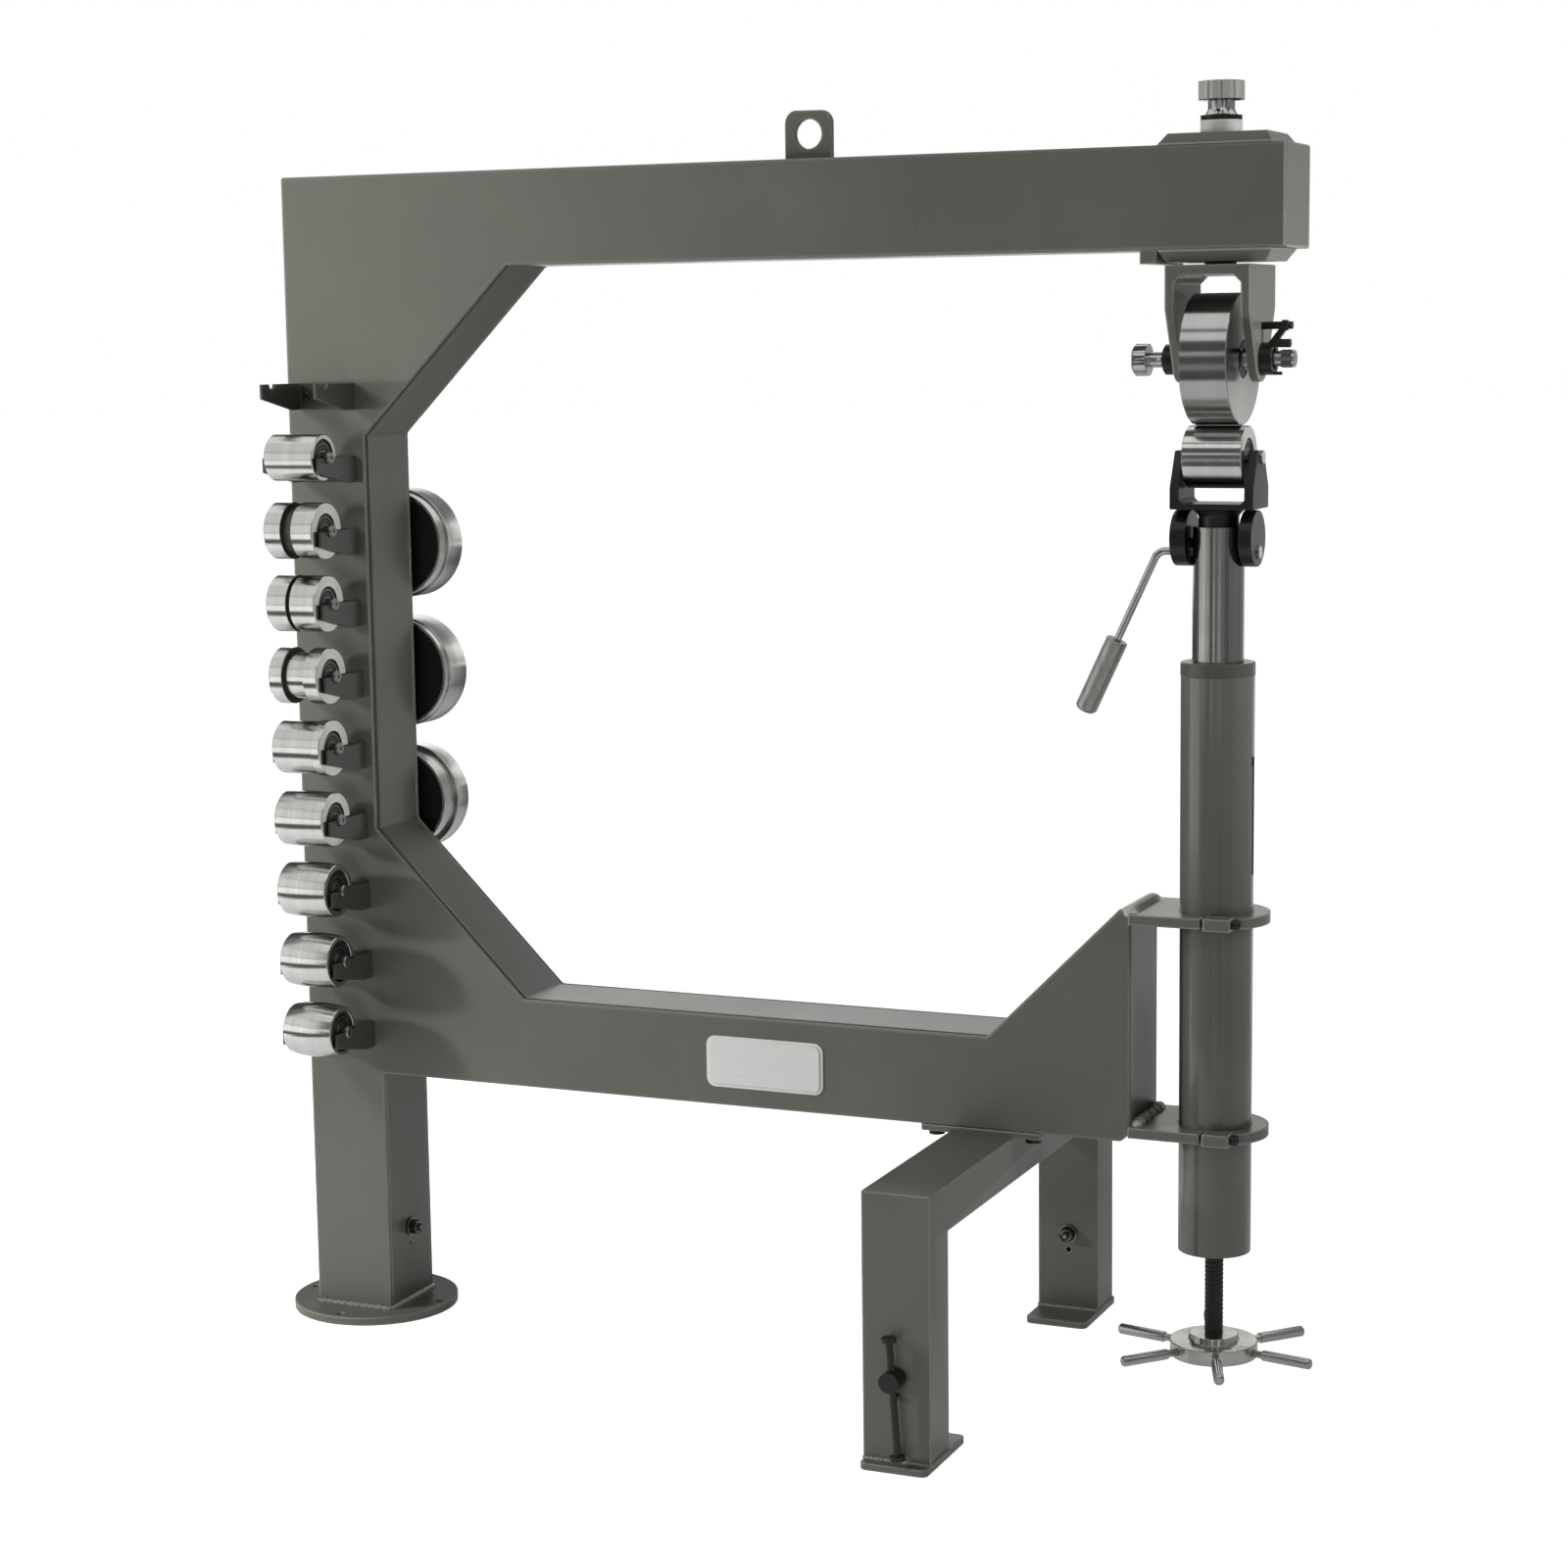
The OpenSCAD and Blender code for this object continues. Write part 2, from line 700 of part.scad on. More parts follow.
module guide_key() {
    key_in = post_r - key_depth + key_gap;
    key_sunk = 1;
    color(BLACK) at_axis() block([key_in, tube_r - key_sunk], [-key_w / 2, key_w / 2],
                                 [key_top - key_len, key_top]);
}

module screw_bearing() {
    color(STEEL) at_axis() difference() {
        rod_z(bearing_z, bearing_z + bearing_h, tube_bore_r);
        rod_z(bearing_z - 1, bearing_z + bearing_h + 1, screw_r + run_gap);
    }
}

module inner_post() {
    color(STEEL) at_axis() difference() {
        rod_z(post_z, post_top, post_r);
        rod_z(post_z - eps, post_top + eps, post_bore_r);
        translate([0, 0, cam_z]) rod_x(-post_r - 1, post_r + 1, cam_shaft_r + run_gap);
        block([post_r - key_depth, post_r + 1], [-key_w / 2 - key_gap / 2, key_w / 2 + key_gap / 2],
              [key_top - key_len - key_w / 2, key_top + post_travel + key_w / 2]);
    }
}

module screw_nut() {
    color(STEEL) at_axis() difference() {
        rod_z(post_z, post_z + nut_h, post_bore_r);
        rod_z(post_z - eps, post_z + nut_h + eps, screw_r + run_gap);
    }
}

module cam_shaft() {
    shaft_proud = 3;
    color(STEEL) at_axis() translate([0, 0, cam_z])
        rod_x(-cam_in - cam_left_t, cam_in + cam_right_t + shaft_proud, cam_shaft_r);
}

module cam_discs() {
    inner_boss_r = 15;
    boss_in = post_r + 0.4;
    reach = cam_in + cam_left_t + 1;
    color(BLACK) at_axis() translate([0, 0, cam_z]) difference() {
        union() {
            translate([0, 0, cam_throw]) {
                rod_x(-cam_in - cam_left_t, -cam_in, cam_r);
                rod_x(cam_in, cam_in + cam_right_t, cam_r);
            }
            rod_x(-cam_in - 1, -boss_in, inner_boss_r);
            rod_x(boss_in, cam_in + 1, inner_boss_r);
        }
        rod_x(-reach, reach, cam_shaft_r);
    }
}

module at_lever() {
    at_axis() translate([lever_stub, 0, cam_z]) rotate([0, lever_lean, 0]) children();
}

module lever_rod() {
    bend = 90 - lever_lean;
    tangent = lever_bend * tan(bend / 2);
    lap = 0.5;
    swell = 0.05;
    color(STEEL) {
        at_axis() translate([0, 0, cam_z]) {
            rod_x(lever_stub + tangent - lap, -cam_in - cam_left_t, lever_r);
            translate([lever_stub + tangent, 0, -lever_bend])
                rotate([90, 0, 0])
                rotate(90)
                rotate_extrude(angle = bend)
                translate([lever_bend, 0])
                circle(r = lever_r + swell);
        }
        at_lever() rod_z(grip_len - lever_len, lap - tangent, lever_r);
    }
}

module lever_grip() {
    grip_edge = 4;
    color(LIGHT) at_lever() {
        rod_z(grip_edge - lever_len, grip_len - lever_len, grip_r);
        translate([0, 0, -lever_len])
            cylinder(h = grip_edge, r1 = grip_r - grip_edge + 1, r2 = grip_r);
    }
}

module lower_yoke() {
    base = yoke_base_z;
    half = lower_yoke_d / 2;
    top = anvil_z + anvil_axle_r;
    ear_top_half = 12;
    shoulder_rise = 23;
    shoulder = base + shoulder_rise;
    inner = yoke_x - lower_ear_t;
    window = 4;
    color(BLACK) at_axis() difference() {
        union() {
            intersection() {
                along_x(-yoke_x, yoke_x) polygon([
                    [-half, base], [half, base], [half, shoulder], [ear_top_half, top],
                    [-ear_top_half, top], [-half, shoulder]
                ]);
                along_y(-half, half) polygon([
                    [-yoke_x, base], [yoke_x, base], [yoke_x, top], [inner, top],
                    [inner, base + lower_base_t + window], [inner - window, base + lower_base_t],
                    [window - inner, base + lower_base_t], [-inner, base + lower_base_t + window],
                    [-inner, top], [-yoke_x, top]
                ]);
            }
            translate([0, 0, base - cone_h]) cylinder(h = cone_h, r1 = neck_r, r2 = cone_r);
            rod_z(neck_z, base - cone_h, neck_r);
        }
        translate([0, 0, anvil_z]) rod_x(-yoke_x - 1, yoke_x + 1, anvil_axle_r);
        block([-yoke_x - 1, yoke_x + 1], [-anvil_axle_r, anvil_axle_r], [anvil_z, top + 1]);
    }
}

module anvil_axle() {
    color(STEEL) at_axis() translate([0, 0, anvil_z]) rod_x(-yoke_x - 1, yoke_x + 3, anvil_axle_r);
}

// Half section of an anvil with radius r: the tread is an arc that falls by crown at the ends
module anvil_section(r, crown, grooves) {
    half = anvil_w / 2;
    edge = 1.5;
    arc_r = crown > 0 ? (half * half + crown * crown) / (2 * crown) : 0;
    difference() {
        polygon([
            [0, -half], [r - edge, -half], [r, edge - half], [r, half - edge], [r - edge, half],
            [0, half]
        ]);
        for (g = grooves) translate([r - g[2], g[0]]) square([g[2] + 1, g[1]]);
        if (crown > 0) difference() {
            translate([r - crown - 3, -half - 1]) square([crown + 4, anvil_w + 2]);
            translate([r - arc_r, 0]) circle(r = arc_r, $fn = 128);
        }
    }
}

// A turned anvil along X with bearing recesses and a bore for an axle of radius bore
module anvil_body(r, crown, grooves, bore) {
    recess_r = r * 0.55;
    recess = 5;
    half = anvil_w / 2;
    rotate([0, 90, 0]) difference() {
        rotate_extrude($fn = 96) anvil_section(r, crown, grooves);
        rod_z(-half - 1, half + 1, bore + run_gap);
        for (z = [-half - 1, half - recess]) rod_z(z, z + recess + 1, recess_r);
    }
}

module working_anvil() {
    color(STEEL) at_axis() translate([0, 0, anvil_z]) anvil_body(anvil_r, 0, [], anvil_axle_r);
}

// Crown and grooves (start from the left end, width, depth) of each spare anvil, from the top
ANVIL_CROWNS = [0, 0, 0, 0, 0, 1.2, 2, 2.8, 4];
ANVIL_GROOVES = [
    [],
    [[-10, 14.5, 5]],
    [[-6, 5.5, 4]],
    [[-15, 29, 6]],
    [[-33, 54, 1.8]],
    [], [], [], []
];

module spare_anvil(i) {
    r = i == 1 ? small_anvil_dia / 2 : anvil_r;
    color(STEEL)
        translate([rack_shift, rack_y, rack_z + (SPARE_ANVILS - i) * rack_pitch])
        anvil_body(r, ANVIL_CROWNS[i - 1], ANVIL_GROOVES[i - 1], rack_axle_r);
}

// Tread radius lost, width of the front step and its depth of each spare wheel, from the top
SPARE_PROFILE = [[3, 14, 3], [2, 8, 2], [4, 22, 6]];

module spare_wheel(i) {
    profile = SPARE_PROFILE[i - 1];
    r = wheel_r - profile[0];
    chamfer = 2;
    rim_t = 4;
    recess = 4;
    recess_r = r - profile[2] - rim_t;
    color(STEEL)
        translate([spare_shift, side_y + spare_out, store_z + (SPARE_WHEELS - i) * store_pitch])
        rotate([-90, 0, 0]) difference() {
            rotate_extrude($fn = 96) difference() {
                polygon([
                    [0, 0], [r - chamfer, 0], [r, chamfer], [r, wheel_w - chamfer],
                    [r - chamfer, wheel_w], [0, wheel_w]
                ]);
                translate([r - profile[2], -1]) square([profile[2] + 1, profile[1] + 1]);
            }
            rod_z(-eps, wheel_w + eps, peg_r + run_gap);
            for (z = [-1, wheel_w - recess]) rod_z(z, z + recess + 1, recess_r);
        }
}

module lift_screw() {
    collar_over = 6;
    collar_len = 11.7;
    collar_start = bearing_z + bearing_h + lock_gap;
    color(BLACK) at_axis() {
        rod_z(kick_hub_top, screw_top, screw_r);
        rod_z(kick_z - kick_disc_t / 2, kick_hub_top, screw_end_r);
        rod_z(collar_start, collar_start + collar_len, screw_r + collar_over);
    }
}

module kick_wheel() {
    disc_z = kick_z - kick_disc_t / 2;
    color(STEEL) at_axis() difference() {
        union() {
            rod_z(disc_z, disc_z + kick_disc_t, kick_dia / 2);
            rod_z(disc_z + kick_disc_t, kick_hub_top, kick_hub_r);
        }
        rod_z(disc_z - 1, kick_hub_top + 1, screw_end_r);
    }
}

module kick_spokes() {
    root = 12;
    nose = 2;
    for (k = [0:kick_spokes - 1]) color(STEEL) at_axis() translate([0, 0, kick_z])
        rotate(kick_phase + 30 + k * 360 / kick_spokes) {
            rod_x(kick_dia / 2, kick_dia / 2 + root, spoke_root_r);
            rod_x(kick_dia / 2 + root, kick_reach - nose, spoke_r);
            translate([kick_reach - nose, 0, 0]) rotate([0, 90, 0])
                cylinder(h = nose, r1 = spoke_r, r2 = spoke_r - nose);
        }
}

module spindle() {
    color(BLACK) at_axis() {
        rod_z(yoke_top_z, collar_z + collar_h, spindle_r);
        rod_z(collar_z + collar_h, collar_z + collar_h + stud_h, stud_r);
    }
}

module upper_yoke() {
    half = upper_yoke_d / 2;
    inner = yoke_x - upper_ear_t;
    window = 8;
    window_z = yoke_top_z - upper_top_t;
    straight_z = wheel_z + ear_straight;
    tuck = -15;
    tuck_y = ear_end_r * cos(tuck);
    tuck_z = wheel_z + ear_end_r * sin(tuck);
    low = wheel_z - ear_end_r - 1;
    color(PAINT) at_axis() difference() {
        intersection() {
            along_x(-yoke_x, yoke_x) union() {
                polygon([
                    [-tuck_y, tuck_z], [tuck_y, tuck_z], [half, straight_z], [half, yoke_top_z],
                    [-half, yoke_top_z], [-half, straight_z]
                ]);
                translate([0, wheel_z]) circle(r = ear_end_r);
            }
            along_y(-half, half) polygon([
                [-yoke_x, low], [-inner, low], [-inner, window_z - window],
                [window - inner, window_z], [inner - window, window_z], [inner, window_z - window],
                [inner, low], [yoke_x, low], [yoke_x, yoke_top_z], [-yoke_x, yoke_top_z]
            ]);
        }
        translate([0, 0, wheel_z]) rod_x(-yoke_x - 1, yoke_x + 1, wheel_axle_r + run_gap);
    }
}

module upper_wheel() {
    edge = 1;
    half = wheel_w / 2;
    color(STEEL) at_axis() translate([0, 0, wheel_z]) rotate([0, 90, 0]) difference() {
        rotate_extrude($fn = 128) polygon([
            [0, -half], [wheel_r - edge, -half], [wheel_r, edge - half], [wheel_r, half - edge],
            [wheel_r - edge, half], [0, half]
        ]);
        rod_z(-half - 1, half + 1, wheel_axle_r + run_gap);
    }
}

module wheel_axle() {
    spacer_r = 12;
    neck_len = 17.2;
    knob_len = 15.5;
    knob_r = 17;
    knob_edge = 2;
    slot_w = 3;
    slot_len = 6;
    pin_hole_r = 2.2;
    cap_out = 20.5;
    cap_x = yoke_x + cap_out;
    cap_len = 15;
    cap_over = 0.6;
    knob_x = yoke_x + axle_boss_len + neck_len;
    knob_end = knob_x + knob_len;
    spacer_in = wheel_w / 2 + lock_gap;
    spacer_out = yoke_x - upper_ear_t - lock_gap;
    color(STEEL) at_axis() translate([0, 0, wheel_z]) difference() {
        union() {
            rod_x(-knob_x, cap_x, wheel_axle_r);
            rod_x(-spacer_out, -spacer_in, spacer_r);
            rod_x(spacer_in, spacer_out, spacer_r);
            rod_x(knob_edge - knob_end, -knob_x, knob_r);
            translate([-knob_end, 0, 0])
                rotate([0, 90, 0])
                cylinder(h = knob_edge, r1 = knob_r - knob_edge, r2 = knob_r);
            rod_x(cap_x, cap_x + cap_len, wheel_axle_r + cap_over);
        }
        translate([neck_len * 0.7 - knob_x, 0, 0]) rod_y(-spacer_r, spacer_r, pin_hole_r);
        for (a = [0:90:270]) rotate([a, 0, 0])
            block([-knob_end - 1, slot_len - knob_end], [-slot_w / 2, slot_w / 2],
                  [knob_r - slot_w, knob_r + 1]);
    }
}

// Black boss on the left ear, and the retainer with its rods on the right ear
module axle_lock() {
    boss_r = 16;
    boss_edge = 2;
    boss_end = yoke_x + axle_boss_len;
    hub_r = 17;
    hub_len = 13.5;
    hub_recess = 6;
    recess_wall = 3;
    guide_up = 34.5;
    guide_len = 32.5;
    guide_r = 4;
    eye_r = 5.6;
    eye_in = 11;
    eye_out = 5;
    strut_w = 8;
    handle_up = 16;
    handle_len = 30.5;
    handle_r = 4.4;
    peg_len = 8;
    lock_peg_r = 1.8;
    hub_end = yoke_x + hub_len;
    guide_end = yoke_x + guide_len;
    bore = wheel_axle_r + run_gap;
    color(BLACK) at_axis() translate([0, 0, wheel_z]) {
        difference() {
            union() {
                rod_x(boss_edge - boss_end, -yoke_x, boss_r);
                translate([-boss_end, 0, 0])
                    rotate([0, 90, 0])
                    cylinder(h = boss_edge, r1 = boss_r - boss_edge - 1, r2 = boss_r);
            }
            rod_x(-boss_end - 1, 1 - yoke_x, bore);
        }
        difference() {
            union() {
                rod_x(yoke_x, hub_end, hub_r);
                translate([0, 0, guide_up]) {
                    rod_x(yoke_x, guide_end, guide_r);
                    rod_x(guide_end - eye_in, guide_end - eye_out, eye_r);
                }
                along_y(-strut_w / 2, strut_w / 2) polygon([
                    [guide_end - eye_in, guide_up], [guide_end - eye_out, guide_up - 2],
                    [hub_end - 1, hub_r - eye_out], [yoke_x + guide_r, hub_r - eye_out]
                ]);
                translate([0, 0, handle_up])
                    rod_x(hub_end - handle_r, yoke_x + handle_len, handle_r);
                translate([0, 0, lock_peg_r - hub_r])
                    rod_x(hub_end - 2, hub_end + peg_len, lock_peg_r);
            }
            rod_x(yoke_x - 1, hub_end + 1, bore);
            rod_x(hub_end - hub_recess, guide_end, bore + recess_wall);
        }
    }
}

module draw_knob() {
    ring_h = 4.7;
    flare_h = 6;
    neck_h = 10;
    knob_h = 19;
    knob_r = 24.25;
    ring_r = 21.75;
    flare_r = 17;
    neck_rad = 14;
    scallops = 12;
    scallop_r = 4;
    scallop_out = 2.6;
    flutes = 8;
    flute_r = 2;
    flare_z = knob_z + ring_h;
    neck_start = flare_z + flare_h;
    top_z = neck_start + neck_h;
    color(LIGHT) at_axis() difference() {
        union() {
            rod_z(knob_z, flare_z, ring_r);
            translate([0, 0, flare_z]) cylinder(h = flare_h, r1 = flare_r, r2 = neck_rad);
            rod_z(neck_start, top_z, neck_rad);
            rod_z(top_z, top_z + knob_h, knob_r);
        }
        rod_z(knob_z - 1, collar_z + collar_h + stud_h + 1, stud_r + run_gap);
        for (k = [0:scallops - 1]) rotate((k + 0.5) * 360 / scallops)
            translate([knob_r + scallop_out, 0, 0])
            rod_z(top_z - eps, top_z + knob_h + 1, scallop_r);
        for (k = [0:flutes - 1]) rotate(k * 360 / flutes)
            translate([neck_rad + flute_r / 2, 0, 0])
            rod_z(neck_start, top_z, flute_r);
    }
}

module caster_at(i) {
    translate([CASTERS[i][0], CASTERS[i][1], 0]) rotate(CASTERS[i][2]) children();
}

module caster_wall_holes(i) {
    half = CASTERS[i][3];
    translate([0, 0, caster_z]) rod_y(-half - 1, half + 1, shaft_r + run_gap);
    translate([0, 0, caster_z - stop_below]) rod_y(half - CASTERS[i][4] - 1, half + 1, stop_r);
}

// Shaft with its crank between the walls, a head with a cross bar outside and a nut inside
module caster_shaft(i) {
    half = CASTERS[i][3];
    washer_t = 2.5;
    nut_t = 8;
    nut_r = 9;
    tip_len = 5;
    cheek_t = 4;
    head_gap = 2;
    head_y = -half - head_gap - head_len;
    cheek_in = tongue_t / 2 + 1;
    cheek_out = cheek_in + cheek_t;
    washer_y = half + lock_gap;
    nut_y = washer_y + washer_t;
    tip_y = nut_y + nut_t;
    color(BLACK) caster_at(i) translate([0, 0, caster_z]) {
        rod_y(-half - head_gap, -cheek_in, shaft_r);
        rod_y(cheek_in, washer_y, shaft_r);
        for (y = [-cheek_out, cheek_in]) rod_y(y, y + cheek_t, crank_web_r);
        translate([0, 0, crank]) rod_y(-cheek_in, cheek_in, pin_r);
        rod_y(head_y, -half - head_gap, head_r);
        rod_y(washer_y, nut_y, head_r);
        translate([0, tip_y, 0])
            rotate([90, 0, 0])
            cylinder(h = nut_t, r = nut_r, $fn = 6);
        rod_y(tip_y, tip_y + tip_len, tip_len);
        translate([0, head_y + head_len / 2, 0])
            rotate([0, -bar_tilt, 0])
            translate([0, 0, -bar_low - bar_len / 2])
            caster_bar();
    }
}

// Cross bar with a button at each end
module caster_bar() {
    button_r = 8;
    button_t = 5;
    rod_z(button_t, bar_len - button_t, bar_r);
    for (z = [0, bar_len - button_t]) rod_z(z, z + button_t, button_r);
}

// Fork: a tongue with a slot for the crank pin, a crown that slides in the leg, and two arms
module caster_fork(i) {
    slot_x = crank + pin_r + 1;
    slot_wall = 7;
    slot_z = caster_z + crank;
    slot_h = pin_r + slot_gap;
    tongue_x = slot_x + slot_wall;
    crown_x = CASTERS[i][5] - free_gap;
    crown_y = CASTERS[i][3] - CASTERS[i][4] - free_gap;
    arm_in = caster_w / 2 + 1;
    arm_w = 24;
    arm_low = 12;
    color(STEEL) caster_at(i) {
        difference() {
            block([-tongue_x, tongue_x], [-tongue_t / 2, tongue_t / 2],
                  [crown_z + crown_t, slot_z + slot_h + slot_wall + 1]);
            block([-slot_x, slot_x], [-tongue_t, tongue_t], [slot_z - slot_h, slot_z + slot_h]);
        }
        block([-crown_x, crown_x], [-crown_y, crown_y], [crown_z, crown_z + crown_t]);
        rotate(CASTERS[i][6]) {
            for (y = [-arm_in - arm_t, arm_in]) difference() {
                block([-arm_w / 2, arm_w / 2], [y, y + arm_t], [caster_axle_z - arm_low, crown_z]);
                translate([0, 0, caster_axle_z]) rod_y(y - 1, y + arm_t + 1, caster_axle_r);
            }
            translate([0, 0, caster_axle_z]) rod_y(-arm_in - arm_t, arm_in + arm_t, caster_axle_r);
        }
    }
}

module caster_wheel(i) {
    color(BLACK) caster_at(i) rotate(CASTERS[i][6]) translate([0, 0, caster_axle_z]) difference() {
        rod_y(-caster_w / 2, caster_w / 2, caster_r);
        rod_y(-caster_w, caster_w, caster_axle_r + run_gap);
    }
}

front_plate();
rear_plate();
throat_web();
outer_web();
lifting_eye();
name_plate();
nose_bosses();
top_collar();
base_plate();
saddle_plate();
crossbeam();
front_legs();
foot_plates();
frame_bolts();
rack_brackets();
storage_axles();
outer_tube();
tube_cap();
post_clamps();
guide_key();
screw_bearing();
inner_post();
screw_nut();
cam_shaft();
cam_discs();
lever_rod();
lever_grip();
lower_yoke();
anvil_axle();
working_anvil();
lift_screw();
kick_wheel();
kick_spokes();
spindle();
upper_yoke();
upper_wheel();
wheel_axle();
axle_lock();
draw_knob();
spare_anvil(1);  // anvil_1
spare_anvil(2);  // anvil_2
spare_anvil(3);  // anvil_3
spare_anvil(4);  // anvil_4
spare_anvil(5);  // anvil_5
spare_anvil(6);  // anvil_6
spare_anvil(7);  // anvil_7
spare_anvil(8);  // anvil_8
spare_anvil(9);  // anvil_9
spare_wheel(1);  // spare_wheel_1
spare_wheel(2);  // spare_wheel_2
spare_wheel(3);  // spare_wheel_3
caster_shaft(0);  // caster_shaft_1
caster_shaft(1);  // caster_shaft_2
caster_shaft(2);  // caster_shaft_3
caster_fork(0);  // caster_fork_1
caster_fork(1);  // caster_fork_2
caster_fork(2);  // caster_fork_3
caster_wheel(0);  // caster_wheel_1
caster_wheel(1);  // caster_wheel_2
caster_wheel(2);  // caster_wheel_3
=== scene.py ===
# %% [markdown]
# # English wheel
# A C-shaped box frame holds a large steel wheel over a small anvil wheel. Sheet metal is rolled
# between the two until it curves. The fixed frame already has every main form, so this notebook
# gives each piece its finish, rounds the edges that catch the light, and adds the small forms:
# threads, bearings, knurls, weld beads and bolt heads.

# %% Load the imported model
import json
from math import pi, radians

import bmesh
import bpy
from mathutils import Euler, Matrix, Vector

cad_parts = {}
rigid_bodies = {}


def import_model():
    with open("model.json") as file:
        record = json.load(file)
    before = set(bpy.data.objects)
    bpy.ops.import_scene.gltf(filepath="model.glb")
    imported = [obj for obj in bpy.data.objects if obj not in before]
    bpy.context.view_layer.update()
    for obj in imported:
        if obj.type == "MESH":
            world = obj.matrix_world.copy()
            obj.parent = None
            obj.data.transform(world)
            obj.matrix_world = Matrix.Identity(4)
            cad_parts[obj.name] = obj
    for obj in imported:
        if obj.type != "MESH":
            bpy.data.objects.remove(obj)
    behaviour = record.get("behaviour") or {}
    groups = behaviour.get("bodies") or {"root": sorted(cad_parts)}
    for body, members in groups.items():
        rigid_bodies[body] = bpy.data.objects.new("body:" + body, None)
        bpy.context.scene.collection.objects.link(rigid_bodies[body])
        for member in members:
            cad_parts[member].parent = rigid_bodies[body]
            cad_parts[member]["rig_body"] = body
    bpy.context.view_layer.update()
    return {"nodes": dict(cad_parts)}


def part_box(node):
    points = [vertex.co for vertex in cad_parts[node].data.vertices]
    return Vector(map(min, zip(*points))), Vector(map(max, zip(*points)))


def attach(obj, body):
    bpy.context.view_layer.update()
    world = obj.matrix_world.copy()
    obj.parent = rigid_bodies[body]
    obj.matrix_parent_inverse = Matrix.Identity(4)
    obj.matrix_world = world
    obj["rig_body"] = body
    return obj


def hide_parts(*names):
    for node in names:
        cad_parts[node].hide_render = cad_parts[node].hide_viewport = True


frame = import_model()

# %% [markdown]
# ## Units and places
# The frame is in metres, but a workshop drawing is read in millimetres. One small function keeps
# every size below readable.

# %% Millimetres and the main places


def mm(*values):
    scaled = [value / 1000 for value in values]
    return scaled[0] if len(scaled) == 1 else Vector(scaled)


def centre(node):
    low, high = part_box(node)
    return (low + high) / 2


wheel_centre = centre("upper_wheel")
anvil_centre = centre("working_anvil")
print("wheel centre", wheel_centre[:], "anvil centre", anvil_centre[:])

# %% [markdown]
# ## Camera
# The photograph was taken from the front and a little to the right, with a long lens. A long
# lens keeps the upright lines nearly parallel, so the focal length matters as much as the place.

# %% Camera
camera_data = bpy.data.cameras.new("camera")
camera_data.lens = 72.43
camera_data.sensor_width = 36
camera_data.clip_end = 50
camera = bpy.data.objects.new("camera", camera_data)
camera.location = mm(1981.7, -3261, 1176.6)
look = Euler((radians(90 - 8.0732), 0, radians(23.5661))).to_matrix()
camera.rotation_euler = (look @ Matrix.Rotation(radians(-0.7491), 3, "Z")).to_euler()
bpy.context.scene.collection.objects.link(camera)
bpy.context.scene.camera = camera
bpy.context.scene.view_settings.view_transform = "Standard"
print("camera at", [round(value, 3) for value in camera.location])

# %% [markdown]
# ## Node helper
# A procedural material is a small graph. `link` makes a node, sets its plain values and joins
# its inputs in one line, so that each finish below reads from top to bottom.

# %% Node helper
BEVEL_SAMPLES = 4
FLAT_DOT, EDGE_DOT = 0.995, 0.8


def link(tree, kind, values=None, inputs=None, **settings):
    node = tree.nodes.new(kind)
    for name, value in settings.items():
        setattr(node, name, value)
    for name, value in (values or {}).items():
        node.inputs[name].default_value = value
    for name, socket in (inputs or {}).items():
        tree.links.new(socket, node.inputs[name])
    return node


def linear(hexcode):
    """A display colour such as 5a5d55 as the linear colour that a shader takes."""
    parts = [int(hexcode[i:i + 2], 16) / 255 for i in (0, 2, 4)]
    return (*[p / 12.92 if p < 0.04045 else ((p + 0.055) / 1.055) ** 2.4 for p in parts], 1)


def new_material(name):
    material = bpy.data.materials.new(name)
    material.use_nodes = True
    tree = material.node_tree
    tree.nodes.clear()
    output = tree.nodes.new("ShaderNodeOutputMaterial")
    shader = tree.nodes.new("ShaderNodeBsdfPrincipled")
    tree.links.new(shader.outputs["BSDF"], output.inputs["Surface"])
    return material, tree, shader


def mix_colour(tree, factor, low, high):
    mix = link(tree, "ShaderNodeMix", data_type="RGBA")
    tree.links.new(factor, mix.inputs["Factor"])
    for socket, value in ((mix.inputs["A"], low), (mix.inputs["B"], high)):
        if isinstance(value, tuple):
            socket.default_value = value
        else:
            tree.links.new(value, socket)
    return mix.outputs["Result"]


def ramp(tree, factor, low, high, bottom=0.0, top=1.0):
    """Stretches factor from low..high to bottom..top."""
    node = link(tree, "ShaderNodeMapRange",
                {"From Min": low, "From Max": high, "To Min": bottom, "To Max": top},
                {"Value": factor})
    return node.outputs["Result"]


def soft_normal(tree, radius):
    """The normal that rounds every edge within radius."""
    bevel = link(tree, "ShaderNodeBevel", {"Radius": radius}, samples=BEVEL_SAMPLES)
    return bevel.outputs["Normal"]


def edge_wear_and_highlight(tree, normal):
    """1 where the rounded normal turns away from the face's own, 0 on the flat: where edge wear
    and a painted edge highlight go.
    """
    geometry = tree.nodes.new("ShaderNodeNewGeometry")
    dot = link(tree, "ShaderNodeVectorMath", operation="DOT_PRODUCT")
    tree.links.new(normal, dot.inputs[0])
    tree.links.new(geometry.outputs["Normal"], dot.inputs[1])
    return ramp(tree, dot.outputs["Value"], FLAT_DOT, EDGE_DOT)


# %% [markdown]
# ## Painted steel
# The frame is powder coated in a satin olive grey. A coat like that is never one flat colour: it
# has a fine orange peel, faint clouds where it was rubbed or dusty, and it thins along edges.
# Noise on three scales gives these. The edge test lightens the corners: partly that thinning,
# partly a painted highlight along each edge.

# %% Paint
CLOUD_SCALE, SPECK_SCALE, PEEL_SCALE = 7.0, 120.0, 300.0
CLOUD_REACH = 1.6
COAT_ROUGHNESS = 0.1
PATTERN_TURN = (0.6, 0.4, 0.9)


